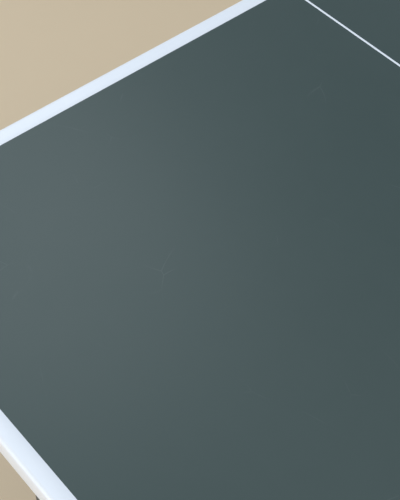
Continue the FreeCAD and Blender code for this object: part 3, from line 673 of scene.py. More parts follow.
@dataclass
class SteelWork:
    """Dresses the nodes whose shape already is right, and softens their edges."""

    paints: Paintbox
    nodes: dict[str, bpy.types.Object]
    edge_mm: float = 0.5
    coats: dict[str, Coat] = field(default_factory=lambda: {
        "frame": Coat.POWDER, "linkage": Coat.LINKAGE, "bright": Coat.ZINC,
        "black_plastic": Coat.PLASTIC, "fork": Coat.PRESSED, "wheel": Coat.TYRE,
        "pedal": Coat.PEDAL, "net_post": Coat.POST, "net": Coat.CORD, "tape": Coat.TAPE,
        "trim": Coat.TRIM, "board": Coat.PLAYING, "foot": Coat.SOLE})

    def dress(self, slots: dict[str, str]) -> None:
        """Give every node its material and rounded edges.

        Args:
            slots: the material slot of each node.
        """
        for name, node in self.nodes.items():
            material = self.paints.get(self.coats[slots[name]])
            if not node.material_slots:
                node.data.materials.append(material)
            for slot in node.material_slots:
                slot.material = material
            weld = node.modifiers.new("Weld", "WELD")
            weld.merge_threshold = 1e-5
            bevel = node.modifiers.new("Round edges", "BEVEL")
            bevel.width = self.edge_mm / 1000
            bevel.segments = 2
            bevel.limit_method = "ANGLE"
            bevel.angle_limit = math.radians(50)
            bevel.use_clamp_overlap = True
            bevel.harden_normals = False
        log.info("dressed %d nodes", len(self.nodes))


# ---------------------------------------------------------------- playing halves


@dataclass
class PlayingHalf:
    """One half of the playing surface: board, printed lines and wrapped edge."""

    side: Side
    paints: Paintbox
    end_line: float = 0.016
    side_line: float = 0.0135
    centre_line: float = 0.0025
    paint_rise: float = 0.00012
    paint_soft: float = 0.00015
    paint_sunk: float = 0.0002
    board_gap: float = 0.00002
    board_edge: float = 0.0004
    painted_deep: float = 0.006
    wrap: float = 0.003
    corner: float = 0.004
    wall: float = 0.0015
    lip: float = 0.0095
    least_radius: float = 0.00015

    def build(self) -> None:
        """Build and dress the board, its lines and its edge."""
        self.low, self.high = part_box(f"edge_trim_{self.side.word}")
        self.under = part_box(f"top_panel_{self.side.word}")[0].z
        self.body = f"half_{self.side.word}"
        self._board()
        self._lines()
        self._edge()

    def _span(self, near: float, far: float) -> tuple[float, float]:
        """Two distances in from the outer end as ordered X bounds."""
        outer = self.high.x if self.side is Side.RIGHT else self.low.x
        ends = (outer - self.side.value * near, outer - self.side.value * far)
        return min(ends), max(ends)

    def _board(self) -> None:
        """The fibreboard panel: painted top, darker underside."""
        piece = Piece(f"board_{self.side.word}", self.body, Coat.PLAYING)
        gap = self.wrap + self.board_gap
        low = Vector((self.low.x + gap, self.low.y + gap, self.under))
        high = Vector((self.high.x - gap, self.high.y - gap, self.high.z))
        piece.block(low, high, self.board_edge, 2)
        piece.paint(Coat.UNDERSIDE)
        painted = self.high.z - self.painted_deep
        for face in piece.bm.faces:
            if face.normal.z < -0.9 or face.calc_center_median().z < painted:
                face.material_index = piece.slot_index
        piece.done(self.paints, (f"top_panel_{self.side.word}",))

    def _stripe(self, piece: Piece, x: tuple[float, float], y: tuple[float, float]) -> None:
        """A printed stripe with soft edges.

        Args:
            piece: the piece that collects the stripes.
            x: its X bounds.
            y: its Y bounds.
        """
        top = self.high.z + self.paint_rise
        soft = self.paint_soft
        rings = []
        for inset, height in ((0.0, self.high.z - self.paint_sunk), (0.0, top - soft / 2),
                              (soft, top)):
            rings.append([Vector((x[0] + inset, y[0] + inset, height)),
                          Vector((x[1] - inset, y[0] + inset, height)),
                          Vector((x[1] - inset, y[1] - inset, height)),
                          Vector((x[0] + inset, y[1] - inset, height))])
        piece.loft(rings)

    def _lines(self) -> None:
        """The white end line, side lines and the thin centre line."""
        piece = Piece(f"lines_{self.side.word}", self.body, Coat.LINES)
        wrap = self.wrap
        end = self._span(wrap, self.end_line)
        rest = self._span(self.end_line, self.high.x - self.low.x - wrap)
        self._stripe(piece, end, (self.low.y + wrap, self.high.y - wrap))
        for low, high in ((self.low.y + wrap, self.low.y + self.side_line),
                          (self.high.y - self.side_line, self.high.y - wrap)):
            self._stripe(piece, rest, (low, high))
        self._stripe(piece, rest, (-self.centre_line / 2, self.centre_line / 2))
        piece.done(self.paints)

    def _profile(self) -> list[tuple[float, float]]:
        """The edge's section as (distance in from the outside, height) pairs."""
        top, bottom, wrap, lip, wall = self.high.z, self.low.z, self.wrap, self.lip, self.wall
        turns = [math.pi / 2 * step / 8 for step in range(9)]
        points = [(wrap - wrap * math.sin(turn), top - wrap + wrap * math.cos(turn))
                  for turn in turns]
        points += [(0.0, bottom + 0.0010), (0.0003, bottom + 0.0003), (0.0010, bottom)]
        points += [(lip - 0.0004, bottom), (lip, bottom + 0.0004),
                   (lip, bottom + wall - 0.0003), (lip - 0.0004, bottom + wall)]
        points += [(wall + 0.001, bottom + wall), (wall, bottom + wall + 0.001),
                   (wall, self.under), (wrap, self.under)]
        return points

    def _edge(self) -> None:
        """The white profile wrapped round the board, rounded on top and at its corners."""
        piece = Piece(f"edge_{self.side.word}", self.body, Coat.TRIM)
        rings = []
        corners = ((self.high.x, self.high.y, 0), (self.low.x, self.high.y, 1),
                   (self.low.x, self.low.y, 2), (self.high.x, self.low.y, 3))
        for x, y, turn in corners:
            out_x = 1 if x == self.high.x else -1
            out_y = 1 if y == self.high.y else -1
            for step in range(7):
                angle = math.pi / 2 * (turn + step / 6)
                ring = []
                for inset, height in self._profile():
                    radius = max(self.corner - inset, self.least_radius)
                    reach = max(self.corner, inset + self.least_radius)
                    ring.append(Vector((x - out_x * reach + radius * math.cos(angle),
                                        y - out_y * reach + radius * math.sin(angle), height)))
                rings.append(ring)
        piece.loft(rings, looped=True)
        piece.done(self.paints, (f"edge_trim_{self.side.word}",), crease=50.0)


# ---------------------------------------------------------------- small metal parts


def joint_places(joints: list[dict]) -> dict[str, Vector]:
    """The point that each joint turns about or starts from, by the joint's name."""
    return {joint["name"]: Vector(joint["pos_m"]) for joint in joints if "pos_m" in joint}


def button_bolt(piece: Piece, axis: Axis, centre: Point, radius: float, height: float,
                flip: int) -> None:
    """A washer and a domed bolt head with a hexagon socket.

    Args:
        piece: the piece that collects it.
        axis: the bolt's axis.
        centre: where the washer lies on the surface.
        radius: the washer's radius.
        height: washer and head together.
        flip: which way along the axis the head faces.
    """
    washer = height * 0.26
    head = radius * 0.86
    socket = radius * 0.34
    profile = [(0, 0), (radius * 0.97, 0), (radius, washer * 0.2), (radius, washer * 0.8),
               (radius * 0.97, washer), (head, washer), (head, washer + height * 0.1)]
    profile += [(socket * 1.15 + (head - socket * 1.15) * math.cos(turn * math.pi / 12),
                 washer + height * 0.1 + (height * 0.9 - washer) * math.sin(turn * math.pi / 12))
                for turn in range(1, 7)]
    count = len(profile)
    profile += [(socket, height * 0.985), (socket, height * 0.4), (0, height * 0.36)]
    piece.turned(axis, centre, profile, 36, flip, hexed=(count, count + 1))


def lock_nut(piece: Piece, axis: Axis, centre: Point, across: float, height: float,
             flip: int) -> None:
    """A hexagon lock nut with a rounded collar and the screw's end showing in it."""
    tip = across / 2
    profile = [(0, 0), (tip, 0), (tip, height * 0.72),
               (tip * 0.93, height * 0.76), (tip * 0.84, height * 0.9), (tip * 0.72, height),
               (tip * 0.56, height * 0.99), (tip * 0.56, height * 0.82), (0, height * 0.8)]
    piece.turned(axis, centre, profile, 36, flip, hexed=(1, 2))


def link_nut(piece: Piece, x: float, stud_end: float, z: float, row: Row) -> None:
    """The lock nut that holds a link bar on a plate's stud.

    Args:
        piece: the piece that collects it.
        x: the stud's place along the table.
        stud_end: how far the stud reaches to the side, without its sign.
        z: the stud's height.
        row: the front or the back.
    """
    across, height, from_end = 0.0148, 0.0031, 0.0026
    seat = (x, row.value * (stud_end - from_end), z)
    lock_nut(piece, Axis.Y, seat, across, height, row.value)


def pan_screw(piece: Piece, axis: Axis, centre: Point, radius: float, flip: int) -> None:
    """A pan-head screw with a flange and a small hexagon recess."""
    high = radius * 0.55
    profile = [(0, 0), (radius, 0), (radius, high * 0.18), (radius * 0.8, high * 0.3),
               (radius * 0.74, high * 0.66), (radius * 0.6, high * 0.92), (radius * 0.4, high),
               (radius * 0.3, high * 0.98), (radius * 0.28, high * 0.4), (0, high * 0.36)]
    piece.turned(axis, centre, profile, 24, flip, hexed=(7, 8))


def end_cap(piece: Piece, centre: Point, axis: Axis, flip: int, half: Point) -> None:
    """A moulded end cap with a soft crown and a shallow sunk panel.

    Args:
        piece: the piece that collects it.
        centre: the middle of the tube's end.
        axis: the tube's axis.
        flip: which way along it the cap faces.
        half: half sizes along the next two axes, and the cap's height.
    """
    first, second = axis.across()
    half_a, half_b, height = half
    turns = [step * math.pi / 10 for step in range(6)]
    corner, least_corner = 0.0028, 0.0008
    rows = [(0.0, 0.0)]
    rows += [(0.0022 * (1 - math.cos(turn)), height * (0.45 + 0.55 * math.sin(turn)))
             for turn in turns]
    rows += [(0.0046, height), (0.0052, height * 0.72), (0.0070, height * 0.70)]
    rings = []
    for inset, rise in rows:
        outline = rounded_outline(half_a - inset, half_b - inset,
                                  max(corner - inset * 0.3, least_corner), 4)
        rings.append([Vector(centre) + first * a + second * b + axis.unit() * flip * rise
                      for a, b in outline])
    piece.loft(rings)


@dataclass
class HalfHardware:
    """What is screwed or welded to one folding half."""

    side: Side
    paints: Paintbox
    places: dict[str, Vector]
    screw_radius: float = 0.0045
    along_side: tuple[float, ...] = (0.075, 0.29, 0.50, 0.70, 0.845)
    across_end: tuple[float, ...] = (-0.36, -0.14, 0.14, 0.36)
    washer_radius: float = 0.009
    head_height: float = 0.005
    shank_radius: float = 0.0049
    rail_half: float = 0.010
    rail_half_height: float = 0.018
    cap_rise: float = 0.003
    stud_reach: float = 0.010
    plate: float = 0.004
    past_plate: float = 0.0055
    axle_bolt: float = 0.045
    nut_across: float = 0.0156
    nut_height: float = 0.005
    bolt_clear: float = 0.0005

    def build(self) -> None:
        """Build bolts, screws, end caps and welds."""
        self.body = f"half_{self.side.word}"
        self.rail_low, self.rail_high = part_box(f"side_rails_{self.side.word}")
        self._bolts()
        self._screws()
        self._caps()
        self._welds()

    def _bolts(self) -> None:
        """Pivot bolts with washers, spacers and lock nuts."""
        piece = Piece(f"bolts_{self.side.word}", self.body, Coat.ZINC)
        hinge = self.places[f"fold_{self.side.word}"]
        axle = self.places[f"legs_fold_{self.side.word}"]
        outer = self.rail_high.y
        rail_in = outer - self.rail_half * 2
        plate_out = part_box("hinge_plates")[1].y - self.stud_reach
        plate_in = plate_out - self.plate
        for row in Row:
            sign = row.value
            for place, inner in ((hinge, plate_in - self.past_plate),
                                 (axle, rail_in - self.axle_bolt)):
                head = (place.x, sign * outer, place.z)
                button_bolt(piece, Axis.Y, head, self.washer_radius, self.head_height, sign)
                profile = [(0, inner), (self.shank_radius * 0.85, inner),
                           (self.shank_radius, inner + 0.0006), (self.shank_radius, outer),
                           (0, outer)]
                piece.turned(Axis.Y, (place.x, 0, place.z), profile, 24, sign)
            seat = (hinge.x, sign * (plate_in - self.bolt_clear), hinge.z)
            lock_nut(piece, Axis.Y, seat, self.nut_across, self.nut_height, -sign)
            near = plate_out + self.bolt_clear
            bore, face, full, chamfer = 0.0052, 0.0083, 0.009, 0.0007
            spacer = [(bore, near), (face, near), (full, near + chamfer),
                      (full, rail_in - chamfer), (face, rail_in), (bore, rail_in)]
            piece.loft(hoops(Vector((hinge.x, 0, hinge.z)),
                             [(radius, sign * height) for radius, height in spacer], 36),
                       looped=True)
        piece.done(self.paints, (f"pivot_bolts_{self.side.word}",))

    def _screws(self) -> None:
        """Screws that hold the board, up through the rails."""
        piece = Piece(f"board_screws_{self.side.word}", self.body, Coat.ZINC)
        under = self.rail_low.z
        middle = self.rail_high.y - self.rail_half
        for x in self.along_side:
            for row in Row:
                spot = (self.side.value * x, row.value * middle, under)
                pan_screw(piece, Axis.Z, spot, self.screw_radius, -1)
        low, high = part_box(f"end_rails_{self.side.word}")
        for x in (low.x + self.rail_half, high.x - self.rail_half):
            for y in self.across_end:
                pan_screw(piece, Axis.Z, (x, y, under), self.screw_radius, -1)
        piece.done(self.paints)

    def _caps(self) -> None:
        """Caps in the open ends of the side rails."""
        piece = Piece(f"rail_caps_{self.side.word}", self.body, Coat.PLASTIC)
        middle = (self.rail_low.z + self.rail_high.z) / 2
        for row in Row:
            y = row.value * (self.rail_high.y - self.rail_half)
            for x, flip in ((self.rail_low.x, -1), (self.rail_high.x, 1)):
                end_cap(piece, (x, y, middle), Axis.X, flip,
                        (self.rail_half, self.rail_half_height, self.cap_rise))
        piece.done(self.paints)

    def _welds(self) -> None:
        """Beads where the end rails and the stiffener meet the rest of the apron."""
        piece = Piece(f"apron_welds_{self.side.word}", self.body, Coat.POWDER)
        low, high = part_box(f"end_rails_{self.side.word}")
        middle = (self.rail_low.z + self.rail_high.z) / 2
        for x in (low.x + self.rail_half, high.x - self.rail_half):
            for row in Row:
                weld_bead(piece, (x, row.value * (high.y - BEAD_SUNK), middle), Axis.Y,
                          APRON_BEAD)
        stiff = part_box(f"stiffener_{self.side.word}")
        near = stiff[0].x if self.side is Side.RIGHT else stiff[1].x
        weld_bead(piece, (near, 0, (stiff[0].z + stiff[1].z) / 2), Axis.X, STIFFENER_BEAD)
        piece.done(self.paints, crease=60.0)


@dataclass
class LegHardware:
    """Nuts, welds and screw feet of one leg frame."""

    side: Side
    paints: Paintbox
    places: dict[str, Vector]
    leg_width: float = 0.040
    axle_bead: float = 0.0094
    bead_radius: float = 0.0013
    foot_radius: float = 0.018
    cup_top: float = 0.0140
    jam_seat: float = 0.0141
    jam_across: float = 0.0138
    jam_height: float = 0.0056
    thread_radius: float = 0.0049
    thread_pitch: float = 0.0015
    thread_top: float = 0.026
    grooves: int = 24
    groove_depth: float = 0.045
    grooved: tuple[float, float] = (0.0004, 0.0066)

    def build(self) -> None:
        """Build the small parts of both legs."""
        self.body = f"legs_{self.side.word}"
        self._link_nuts()
        self._welds()
        for row in Row:
            self._foot(row)

    def _link_nuts(self) -> None:
        """Lock nuts that hold the link bars on the crank studs."""
        piece = Piece(f"crank_nuts_{self.side.word}", self.body, Coat.ZINC)
        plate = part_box(f"crank_plates_{self.side.word}")
        edge = plate[1].x if self.side is Side.RIGHT else plate[0].x
        stud_x = edge - self.side.value * STUD_INSET
        for row in Row:
            link_nut(piece, stud_x, plate[1].y, plate[0].z + STUD_INSET, row)
        piece.done(self.paints)

    def _welds(self) -> None:
        """Beads round the brace ends and where the axle passes the legs."""
        piece = Piece(f"leg_welds_{self.side.word}", self.body, Coat.POWDER)
        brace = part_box(f"leg_brace_{self.side.word}")
        axle = self.places[f"legs_fold_{self.side.word}"]
        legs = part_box(f"leg_tubes_{self.side.word}")
        middle = (brace[0] + brace[1]) / 2
        for row in Row:
            weld_bead(piece, (middle.x, row.value * (brace[1].y - BEAD_SUNK), middle.z), Axis.Y,
                      BRACE_BEAD)
            for y in (legs[1].y, legs[1].y - self.leg_width):
                path = [Vector((axle.x + self.side.value * self.axle_bead * math.sin(turn / 9),
                                row.value * y, axle.z + self.axle_bead * math.cos(turn / 9)))
                        for turn in range(2, 27)]
                piece.tube_along(path, self.bead_radius, 6,
                                 swell=lambda index: 1 + 0.18 * math.cos(index * 2.1))
        piece.done(self.paints, crease=60.0)

    def _foot(self, row: Row) -> None:
        """A screw foot: grooved rubber sole, pressed cup, thread and jam nut."""
        corner = f"{row.word}_{self.side.word}"
        low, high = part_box(f"foot_{corner}")
        centre = ((low.x + high.x) / 2, (low.y + high.y) / 2, low.z)
        piece = Piece(f"screw_foot_{corner}", f"foot_{corner}", Coat.SOLE)
        reach = self.foot_radius
        sole = [(0, 0.0012), (0.010, 0.0012), (0.0106, 0.0), (reach - 0.0012, 0.0),
                (reach, 0.0012), (reach, 0.0058), (reach - 0.0008, 0.0068),
                (reach - 0.0030, 0.0072), (0, 0.0072)]
        piece.turned(Axis.Z, centre, sole, 144, wobble=lambda angle, height: 1 - (
            self.groove_depth * max(0.0, math.cos(angle * self.grooves)) ** 2
            if self.grooved[0] < height < self.grooved[1] else 0.0))
        piece.paint(Coat.ZINC)
        cup = [(0, 0.0068), (reach - 0.0032, 0.0068), (reach - 0.0024, 0.0076),
               (reach - 0.0032, 0.0086), (0.0115, 0.0098), (0.0085, 0.0124), (0.0076, 0.0138),
               (0, self.cup_top)]
        piece.turned(Axis.Z, centre, cup, 48)
        lock_nut(piece, Axis.Z, (centre[0], centre[1], self.jam_seat), self.jam_across,
                 self.jam_height, 1)
        heights = [self.cup_top + step * self.thread_pitch / 6 for step in range(45)]
        thread = [(0, heights[0])] + [(self.thread_radius, height) for height in heights]
        tip = high.z
        thread += [(self.thread_radius * 0.94, tip - 0.001), (self.thread_radius * 0.8, tip),
                   (0, tip)]
        piece.turned(Axis.Z, centre, thread, 18, wobble=lambda angle, height: (
            1 + 0.05 * math.sin(angle - 2 * math.pi * height / self.thread_pitch)
            if height < self.thread_top else 1.0))
        piece.done(self.paints, (f"foot_{corner}",))


# ---------------------------------------------------------------- trolley


@dataclass
class Trolley:
    """Welds, caps, nuts and pins of the standing frame."""

    paints: Paintbox

    def build(self) -> None:
        """Build everything that rides on the trolley."""
        self.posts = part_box("trolley_posts")
        self.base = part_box("base_rails")
        self.post_x = self.posts[1].x - POST_HALF_X
        self.post_y = self.posts[1].y - POST_HALF_Y
        self._welds()
        self._caps()
        self._nuts()
        self._pins()

    def _welds(self) -> None:
        """Beads round each joint of the tubes."""
        piece = Piece("trolley_welds", "trolley", Coat.POWDER)
        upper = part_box("upper_rails")
        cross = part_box("cross_tubes")
        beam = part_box("net_beam")
        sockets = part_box("net_sockets")
        beam_height, socket_width = 0.030, 0.030
        cross_x = cross[1].x - POST_HALF_Y
        for side in Side:
            for row in Row:
                y = row.value * self.post_y
                weld_bead(piece, (side.value * self.post_x, y, self.base[1].z), Axis.Z,
                          POST_BEAD)
                weld_bead(piece, (side.value * (upper[1].x - BEAD_SUNK), y,
                                  (upper[0].z + upper[1].z) / 2), Axis.X, UPPER_RAIL_BEAD)
                for rail in (self.base, upper):
                    weld_bead(piece, (side.value * cross_x, row.value * (cross[1].y - BEAD_SUNK),
                                      rail[0].z + RAIL_HALF), Axis.Y, CROSS_TUBE_BEAD)
        for row in Row:
            for z in (upper[1].z, beam[1].z - beam_height):
                weld_bead(piece, (0, row.value * self.post_y, z), Axis.Z, STUB_BEAD)
            weld_bead(piece, (0, row.value * (sockets[1].y - socket_width),
                              beam[1].z - beam_height / 2), Axis.Y, BEAM_BEAD)
        piece.done(self.paints, crease=60.0)

    def _caps(self) -> None:
        """Caps on the base rails' ends and on the posts."""
        piece = Piece("end_caps", "trolley", Coat.PLASTIC)
        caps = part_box("trolley_caps")
        base, post_top = self.base, self.posts[1].z
        for side in Side:
            for row in Row:
                y = row.value * self.post_y
                end_cap(piece, (side.value * base[1].x, y, (base[0].z + base[1].z) / 2),
                        Axis.X, side.value, (POST_HALF_Y, RAIL_HALF, caps[1].x - base[1].x))
                end_cap(piece, (side.value * self.post_x, y, post_top), Axis.Z, 1,
                        (POST_HALF_X, POST_HALF_Y, caps[1].z - post_top))
        piece.done(self.paints, ("trolley_caps",))

    def _nuts(self) -> None:
        """Lock nuts that hold the link bars on the hinge plates' studs."""
        piece = Piece("hinge_nuts", "trolley", Coat.ZINC)
        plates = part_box("hinge_plates")
        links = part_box("link_bars_right")
        for side in Side:
            for row in Row:
                link_nut(piece, side.value * (links[0].x + STUD_INSET), plates[1].y,
                         (links[0].z + links[1].z) / 2, row)
        piece.done(self.paints)

    def _pins(self) -> None:
        """Riveted heads on the ends of the storage hooks' pins."""
        piece = Piece("hook_rivets", "trolley", Coat.ZINC)
        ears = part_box("hook_brackets")
        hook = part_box("storage_hook_right")
        pin_inset = 0.007
        profile = [(0, 0), (0.0046, 0), (0.0046, 0.0004), (0.0041, 0.0011), (0.0026, 0.0016),
                   (0, 0.0018)]
        for side in Side:
            for row in Row:
                place = (side.value * (hook[0].x + pin_inset), row.value * ears[1].y,
                         hook[0].z + pin_inset)
                piece.turned(Axis.Y, place, profile, 24, row.value)
        piece.done(self.paints)


# ---------------------------------------------------------------- net


@dataclass
class Net:
    """Posts, caps, netting, tape, side bindings and ties."""

    paints: Paintbox
    pitch: float = 0.010
    strand: float = 0.0005
    knot: float = 0.00095
    looseness: float = 0.0004
    stitch: float = 0.0034
    stitch_gap: float = 0.0013
    stitch_radius: float = 0.00024
    crest_sag: float = 0.0008
    twine_sag: float = 0.00035
    binding_width: float = 0.011
    binding_half: float = 0.0013
    post_radius: float = 0.010
    tie_radius: float = 0.0008
    tie_lift: float = 0.0008
    tie_reach: float = 0.0108
    tie_waist: float = 0.0086
    tie_back: float = 0.0112
    tie_front: float = 0.0185
    tie_points: int = 28

    def build(self) -> None:
        """Build the net set from the posts inwards."""
        self.low, self.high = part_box("net_mesh")
        self.tape_low, self.tape_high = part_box("net_tape")
        self.random = random.Random(7)
        self._posts()
        self._netting()
        self._tape()
        for row in Row:
            self._binding(row)
        self._ties()

    def _posts(self) -> None:
        """Coated tube posts with a rolled rim, and their domed caps."""
        low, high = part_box("net_posts")
        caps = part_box("net_post_caps")
        middle = high.y - self.post_radius
        posts = Piece("posts", "net_set", Coat.POST)
        tops = Piece("post_tops", "net_set", Coat.PLASTIC)
        length = high.z - low.z
        rise = caps[1].z - caps[0].z
        for row in Row:
            foot = (0, row.value * middle, low.z)
            posts.turned(Axis.Z, foot, [
                (0, 0.002), (0.0078, 0.002), (0.0080, 0), (0.0094, 0), (0.010, 0.0008),
                (0.010, 0.055), (0.0099, 0.0555), (0.0099, 0.0565), (0.010, 0.057),
                (0.010, length - 0.0008), (0.0096, length), (0, length)], 40)
            tops.turned(Axis.Z, (0, row.value * middle, caps[0].z), [
                (0, 0), (0.0104, 0), (0.011, 0.0006), (0.011, 0.0018), (0.0106, 0.0022),
                (0.0103, 0.0026), (0.0092, rise * 0.84), (0.0068, rise * 0.95),
                (0.0035, rise * 0.99), (0, rise)], 40)
        posts.done(self.paints, ("net_posts",))
        tops.done(self.paints, ("net_post_caps",))

    def _netting(self) -> None:
        """Knotted square netting, woven over and under, slightly uneven."""
        piece = Piece("netting", "net_set", Coat.CORD)
        width = self.high.y - self.low.y
        height = self.tape_low.z + 0.004 - self.low.z
        columns = round(width / self.pitch)
        rows = round(height / self.pitch)
        knots = [[Vector((0, self.low.y + width * column / columns
                          + self.random.uniform(-1, 1) * self.looseness,
                          self.low.z + self.strand + height * row / rows
                          + self.random.uniform(-1, 1) * self.looseness * (0 < row < rows)))
                  for column in range(columns + 1)] for row in range(rows + 1)]
        for row in (knots[0], knots[-1]):
            for spot in row:
                spot.y = min(max(spot.y, self.low.y), self.high.y)
        over = self.strand * 0.7
        for line, sign in ((knots, 1), (list(zip(*knots)), -1)):
            for number, strand in enumerate(line):
                path = []
                for index, spot in enumerate(strand):
                    lift = Vector((sign * over * (-1) ** (index + number), 0, 0))
                    if index:
                        sag = Vector((0, 0, -self.twine_sag if sign > 0 else 0))
                        path.append((strand[index - 1] + spot) / 2 + sag)
                    path.append(spot + lift)
                piece.tube_along(path, self.strand, 5)
        for row in knots:
            for spot in row:
                lumpy = self.knot * self.random.uniform(0.85, 1.15)
                bmesh.ops.create_icosphere(piece.bm, subdivisions=1, radius=lumpy,
                                           matrix=Matrix.Translation(spot))
        made = piece.done(self.paints, ("net_mesh",), crease=80.0)

    def _strip(self, piece: Piece, path: list[Vector], across: Vector, down: Vector,
               depth: float, half: float, cloth: float = 0.0005) -> None:
        """A strip folded double over an edge.

        Args:
            piece: the piece that collects it.
            path: the fold's crest, point by point.
            across: the unit vector through the net.
            down: the unit vector from the crest to the strip's free edges.
            depth: how far each leaf reaches.
            half: half the folded strip's thickness at the crest.
            cloth: the cloth's thickness.
        """
        outside = [(half * 0.62, depth), (half * 0.74, depth * 0.86), (half * 0.9, depth * 0.5),
                   (half, half * 1.2)]
        outside += [(half * math.cos(turn * math.pi / 10), half * (1 - math.sin(
            turn * math.pi / 10))) for turn in range(1, 5)]
        left = [(-a, b) for a, b in reversed(outside)]
        outer = outside + [(0.0, 0.0)] + left
        inner = [(a - math.copysign(cloth, a) if a else 0.0,
                  max(b, cloth) if b < depth else b) for a, b in reversed(outer)]
        rings = []
        for index, point in enumerate(path):
            pucker = 1 + 0.05 * math.sin(index * 1.9) + 0.03 * math.sin(index * 0.61)
            drop = 1 + 0.018 * math.sin(index * 0.83)
            rings.append([point + across * a * pucker + down * b * drop
                          for a, b in outer + inner])
        piece.loft(rings)

    def _tape(self) -> None:
        """The cotton tape folded over the headline cord, with its stitching."""
        piece = Piece("top_tape", "net_set", Coat.TAPE)
        thread = Piece("tape_stitches", "net_set", Coat.THREAD)
        length = self.tape_high.y - self.tape_low.y
        depth = self.tape_high.z - self.tape_low.z
        half = (self.tape_high.x - self.tape_low.x) / 2 * 0.92
        count = 240
        path = [Vector((0, self.tape_low.y + length * step / count,
                        self.tape_high.z - self.crest_sag * math.sin(math.pi * step / count)))
                for step in range(count + 1)]
        self._strip(piece, path, Axis.X.unit(), -Axis.Z.unit(), depth * 0.98, half)
        step = self.stitch + self.stitch_gap
        for sign in (1, -1):
            for number in range(int((length - 0.008) / step)):
                start = self.tape_low.y + 0.004 + number * step
                drop = self.tape_high.z - depth * 0.84 - self.crest_sag * math.sin(
                    math.pi * (start - self.tape_low.y) / length)
                out = half * 0.80
                path = [Vector((sign * (out + lift), start + self.stitch * share, drop + rise))
                        for lift, share, rise in ((-0.0003, 0, 0), (0.0001, 0.18, 0),
                                                  (0.0001, 0.82, 0.0001),
                                                  (-0.0003, 1, 0.0001))]
                thread.tube_along(path, self.stitch_radius, 5)
        made = piece.done(self.paints, ("net_tape",), crease=70.0)
        stitches = thread.done(self.paints, crease=80.0)

    def _binding(self, row: Row) -> None:
        """A narrow doubled binding down one side of the net."""
        piece = Piece(f"side_binding_{row.word}", "net_set", Coat.TAPE)
        edge = row.value * (self.high.y - 0.0006)
        count = 24
        length = self.tape_low.z + 0.002 - self.low.z
        path = [Vector((0, edge, self.low.z + length * step / count))
                for step in range(count + 1)]
        self._strip(piece, path, Axis.X.unit(), Vector((0, -row.value, 0)),
                    self.binding_width, self.binding_half)
        made = piece.done(self.paints, crease=70.0)

    def _ties(self) -> None:
        """Loops of cord that lace the bindings to the posts."""
        piece = Piece("post_ties", "net_set", Coat.CORD)
        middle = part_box("net_posts")[1].y - self.post_radius
        span = self.tape_low.z - self.low.z
        for row in Row:
            for share in (0.12, 0.5, 0.88):
                z = self.low.z + span * share
                path = []
                for turn in range(self.tie_points):
                    angle = 2 * math.pi * turn / self.tie_points
                    out = math.cos(angle)
                    reach, far = self.tie_reach, self.tie_back
                    if out <= 0:
                        reach, far = reach - self.tie_waist * (-out) ** 1.5, self.tie_front
                    path.append(Vector((reach * math.sin(angle),
                                        row.value * (middle + far * out),
                                        z + self.tie_lift * math.sin(angle * 2))))
                piece.tube_along(path, self.tie_radius, 6, closed=True)
        piece.done(self.paints, crease=80.0)


@dataclass
class ClampKnob:
    """A fluted knob with its screw, in the side of a net socket."""

    row: Row
    paints: Paintbox
    lobes: int = 8
    gap: float = 0.005
    collar: float = 0.0035
    stem_radius: float = 0.0038
    pitch: float = 0.0012

    def build(self) -> None:
        """Build the head, its sunk face and the threaded stem."""
        name = f"net_knob_{self.row.word}"
        low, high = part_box(name)
        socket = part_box("net_sockets")[1].y
        reach = (high.z - low.z) / 2
        centre = ((low.x + high.x) / 2, self.row.value * socket, (low.z + high.z) / 2)
        far = max(abs(low.y), abs(high.y)) - socket
        piece = Piece(f"clamp_{name}", f"knob_{self.row.word}", Coat.PLASTIC)
        head = self.gap
        profile = [(0, head), (0.0062, head), (0.0072, head + 0.0006), (0.0086, head + 0.003),
                   (reach - 0.0028, head + 0.0042), (reach - 0.0008, head + 0.0054),
                   (reach, head + 0.0076), (reach, far - 0.0046), (reach - 0.0008, far - 0.0022),
                   (reach - 0.003, far - 0.0006), (reach - 0.0048, far),
                   (reach - 0.0056, far - 0.0003), (reach - 0.0062, far - 0.0012),
                   (0.003, far - 0.0008), (0, far - 0.0008)]
        piece.turned(Axis.Y, centre, profile, 96, self.row.value, wobble=self._flute)
        piece.paint(Coat.ZINC)
        tip = min(abs(low.y), abs(high.y)) - socket
        steps = round((head - tip) / (self.pitch / 4))
        thread = [(0, tip)] + [(self.stem_radius, tip + (head - tip) * step / steps)
                               for step in range(steps + 1)] + [(0, head + 0.0002)]
        piece.turned(Axis.Y, centre, thread, 18, self.row.value, wobble=lambda angle, height: (
            1 + 0.045 * math.sin(angle - 2 * math.pi * height / self.pitch)))
        piece.done(self.paints, (name,))

    def _flute(self, angle: float, height: float) -> float:
        """How far the lobed grip draws in at an angle."""
        if height < self.gap + self.collar:
            return 1.0
        return 1 - 0.13 * (0.5 - 0.5 * math.cos(angle * self.lobes)) ** 1.6


# ---------------------------------------------------------------- casters


